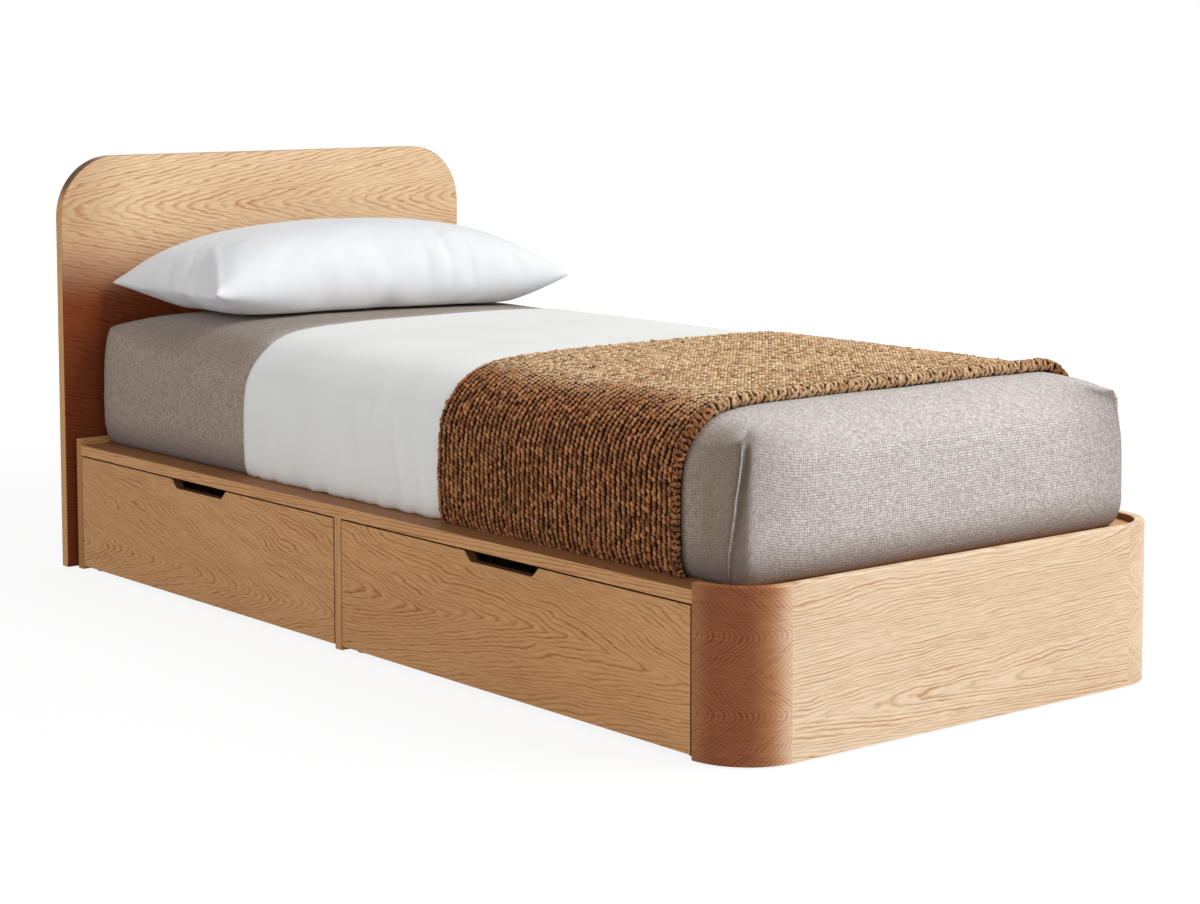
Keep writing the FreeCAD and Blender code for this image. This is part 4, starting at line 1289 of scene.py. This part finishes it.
# The empty case: half its width and depth, how far its edges draw in, and how far its faces are apart
case_half_width, case_half_depth = 0.43, 0.285
side_hollow, front_hollow = 0.055, 0.075
case_swell, under_share = 0.075, 0.8
# How much of the blown-up shape stays, and how far the filled case stands above and below its seam
pillow_softness = 0.34
pillow_rise, pillow_fall = 0.122, 0.100
least_fall, fall_run = 0.55, 0.3
rest_gap, rest_fade = 0.0035, 0.012
fill_frames = 30
case_cloth = {
    "quality": 6, "mass": 0.2, "tension_stiffness": 40, "compression_stiffness": 40, "shear_stiffness": 20,
    "bending_stiffness": 0.4, "use_pressure": True, "uniform_pressure_force": 3.2,
}
# Each fold of the case: where it starts and ends as shares of the width and depth, its width and depth
pillow_folds = (
    ((0.000, 0.00), (0.135, 0.46), 0.013, 0.0120),
    ((0.000, 0.12), (0.060, 0.60), 0.046, -0.0170),
    ((0.010, 0.86), (0.110, 0.62), 0.026, -0.0060),
    ((0.040, 0.95), (0.160, 0.80), 0.022, -0.0040),
    ((0.610, 0.03), (0.635, 0.30), 0.013, -0.0042),
    ((0.675, 0.02), (0.690, 0.34), 0.011, -0.0046),
    ((0.740, 0.03), (0.730, 0.24), 0.010, -0.0036),
    ((0.860, 0.05), (0.800, 0.20), 0.012, -0.0034),
    ((0.985, 0.10), (0.860, 0.34), 0.022, -0.0044),
)
# A pillow is this much wider than deep, and its folds stand out toward its front corner
pillow_aspect = 1.5
fold_way = Vector((-0.45, -0.60, 0.66))


def pillow_shell():
    """Two faces joined round the edge, a little apart in the middle."""
    points, faces, top, bottom = [], [], {}, {}
    for i in range(pillow_across + 1):
        for j in range(pillow_deep + 1):
            u, v = 2 * i / pillow_across - 1, 2 * j / pillow_deep - 1
            swell = case_swell * ((1 - u ** 4) * (1 - v ** 4)) ** 0.6
            x = case_half_width * u * (1 - side_hollow * (1 - v * v))
            y = case_half_depth * v * (1 - front_hollow * (1 - u * u))
            top[i, j] = bottom[i, j] = len(points)
            points.append(Vector((x, y, swell)))
            if abs(u) < 1 and abs(v) < 1:
                bottom[i, j] = len(points)
                points.append(Vector((x, y, -under_share * swell)))
    for i in range(pillow_across):
        for j in range(pillow_deep):
            square = ((i, j), (i + 1, j), (i + 1, j + 1), (i, j + 1))
            faces.append([top[k] for k in square])
            faces.append([bottom[k] for k in reversed(square)])
    return new_mesh("pillow_case", points, faces)


def fill_pillow(shell):
    """Blows the case up as cloth, which pulls folds in at its seams."""
    cloth = shell.modifiers.new("filling", "CLOTH")
    for name, value in case_cloth.items():
        setattr(cloth.settings, name, value)
    cloth.settings.effector_weights.gravity = 0
    for frame_number in range(1, fill_frames + 1):
        bpy.context.scene.frame_set(frame_number)
    seen = shell.evaluated_get(bpy.context.evaluated_depsgraph_get())
    for vertex, moved in zip(shell.data.vertices, seen.data.vertices):
        vertex.co = moved.co
    shell.modifiers.remove(cloth)
    bpy.context.scene.frame_set(1)


def fold_depth(u, v):
    """How far the case stands out at a place on its upper face."""
    total = 0.0
    for start, end, width, depth in pillow_folds:
        across, over = (end[0] - start[0]) * pillow_aspect, end[1] - start[1]
        way_u, way_v = (u - start[0]) * pillow_aspect, v - start[1]
        length = across * across + over * over
        along = within((way_u * across + way_v * over) / length)
        off = math.hypot(way_u - along * across, way_v - along * over)
        total += depth * bell(off, pillow_aspect * width) * (1 - 0.6 * along)
    return total


def unit_shape(points, half_x, half_y):
    """Points as shares of a form's half width, half depth and height above or below its seam."""
    highest, lowest = max(point.z for point in points), min(point.z for point in points)
    return [
        Vector((point.x / half_x, point.y / half_y, point.z / (highest if point.z > 0 else -lowest)))
        for point in points
    ]


def settle_pillow(shell, flat):
    """Lays the filled case between its four corners and flattens it where it rests."""
    filled = [vertex.co.copy() for vertex in shell.data.vertices]
    blown = unit_shape(filled, abs(filled[-1].x), abs(filled[-1].y))
    plain = unit_shape(flat, max(point.x for point in flat), max(point.y for point in flat))
    for vertex, even, full, start in zip(shell.data.vertices, plain, blown, flat):
        shape = even.lerp(full, pillow_softness)
        u, v = 0.5 + 0.5 * shape.x, 0.5 + 0.5 * shape.y
        front = pillow_front_left.lerp(pillow_front_right, u)
        rear = pillow_rear_left.lerp(pillow_rear_right, u)
        point = front.lerp(rear, v)
        fall = pillow_fall * (least_fall + (1 - least_fall) * within(u / fall_run))
        point.z += shape.z * (pillow_rise if shape.z > 0 else fall)
        if start.z >= 0:
            point += fold_way * fold_depth(u, v)
        rest = top_height(point.x, point.y) + rest_gap
        if point.z < rest + rest_fade:
            point.z = rest + rest_fade * math.exp((point.z - rest - rest_fade) / rest_fade)
        vertex.co = point


pillow = pillow_shell()
even_shape = [vertex.co.copy() for vertex in pillow.data.vertices]
fill_pillow(pillow)
settle_pillow(pillow, even_shape)
fine = pillow.modifiers.new("fine", "SUBSURF")
fine.levels = fine.render_levels = 1
wear(pillow, cotton_finish("pillow_cotton", (0.800, 0.820, 0.850), (0.770, 0.790, 0.820)))
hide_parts("pillow")

# Studio
# A white floor that keeps a faint shadow, a large soft lamp high over the foot end, two weak ones
# on the drawer side, low down, and a pale surround.
white = (1.0, 1.0, 1.0, 1.0)
floor_grey = (0.55, 0.55, 0.55, 1)
floor_half = 14.0
floor_glow = 1.13
# The white covers this much of the shadow near the bed, and all of it past the second distance
near_cover = 0.78
cover_starts, cover_ends = 2.0, 5.0
surround_strength = 0.44
sun_white, fill_white = (1.0, 0.99, 0.97), (1.0, 0.99, 0.98)


def seen_rays(graph):
    """1 for rays that show the background, straight, in a reflection or through glass."""
    kinds = ("Camera", "Glossy", "Transmission")
    rays = [graph.node("ShaderNodeLightPath", {}, {}, f"Is {kind} Ray") for kind in kinds]
    return rays[0].sum("MAXIMUM", rays[0], rays[1].sum("MAXIMUM", rays[1], rays[2]))


def studio_floor():
    corners = [(-floor_half, -floor_half, 0), (floor_half, -floor_half, 0)]
    corners += [(floor_half, floor_half, 0), (-floor_half, floor_half, 0)]
    floor = new_mesh("studio_floor", corners, [(0, 1, 2, 3)])
    finish = Finish("studio_white", 0.9)
    finish.feed("Base Color", floor_grey)
    glow = finish.node("ShaderNodeEmission", {}, {"Color": white, "Strength": floor_glow})
    x, y, _ = finish.place()
    far = (x * x + y * y).root().ease(cover_starts, cover_ends)
    cover = seen_rays(finish) * (near_cover + (1 - near_cover) * far)
    body = Socket(finish, finish.shader.outputs[0])
    mixed = finish.node("ShaderNodeMixShader", {}, {0: cover, 1: body, 2: glow})
    finish.join(mixed, finish.tree.nodes["Material Output"].inputs["Surface"])
    floor.data.materials.append(finish.material)


def surround(strength):
    world = bpy.data.worlds.new("surround")
    world.use_nodes = True
    graph = Graph(world.node_tree)
    shown = graph.tree.nodes["Background"]
    graph.join(white, shown.inputs["Color"])
    graph.join(strength + seen_rays(graph) * (1.0 - strength), shown.inputs["Strength"])
    bpy.context.scene.world = world


def lamp(name, place, target, width, height, watts, colour):
    data = bpy.data.lights.new(name, "AREA")
    data.shape = "RECTANGLE"
    data.size, data.size_y = width, height
    data.energy = watts
    data.color = colour
    made = new_object(name, data)
    made.location = place
    made.rotation_mode = "QUATERNION"
    made.rotation_quaternion = (Vector(target) - Vector(place)).to_track_quat("-Z", "Y")


studio_floor()
surround(surround_strength)
lamp("key", (2.6, -3.8, 4.6), (0, 0, 0.4), 2.6, 2.6, 288, sun_white)
lamp("foot_fill", (-2.6, -4.6, 1.1), (0, 0, 0.5), 3.0, 2.0, 33, fill_white)
lamp("drawer_side_fill", (-5.0, 0.4, 1.8), (0, 0, 0.3), 3.0, 2.0, 38, fill_white)

# Viewpoint
# A little above the bed, off the foot corner on the drawer side, with a long lens.
eye = Vector((-3.1546, -3.9096, 1.0893))
yaw, pitch, roll = 0.6519, 0.0868, -0.0053
ahead = Vector((math.sin(yaw) * math.cos(pitch), math.cos(yaw) * math.cos(pitch), -math.sin(pitch)))
level = Vector((math.cos(yaw), -math.sin(yaw), 0))
upward = level.cross(ahead)
right = math.cos(roll) * level + math.sin(roll) * upward
up = math.cos(roll) * upward - math.sin(roll) * level
sensor_millimetres, lens_millimetres = 36, 78.057
shift_right, shift_up = 0.0918, -0.1395
lens = bpy.data.cameras.new("camera")
lens.sensor_width = sensor_millimetres
lens.lens = lens_millimetres
lens.shift_x = shift_right
lens.shift_y = shift_up
camera = new_object("camera", lens)
camera.matrix_world = Matrix.Translation(eye) @ Matrix((right, up, -ahead)).transposed().to_4x4()
bpy.context.scene.camera = camera
bpy.context.scene.view_settings.view_transform = "Standard"
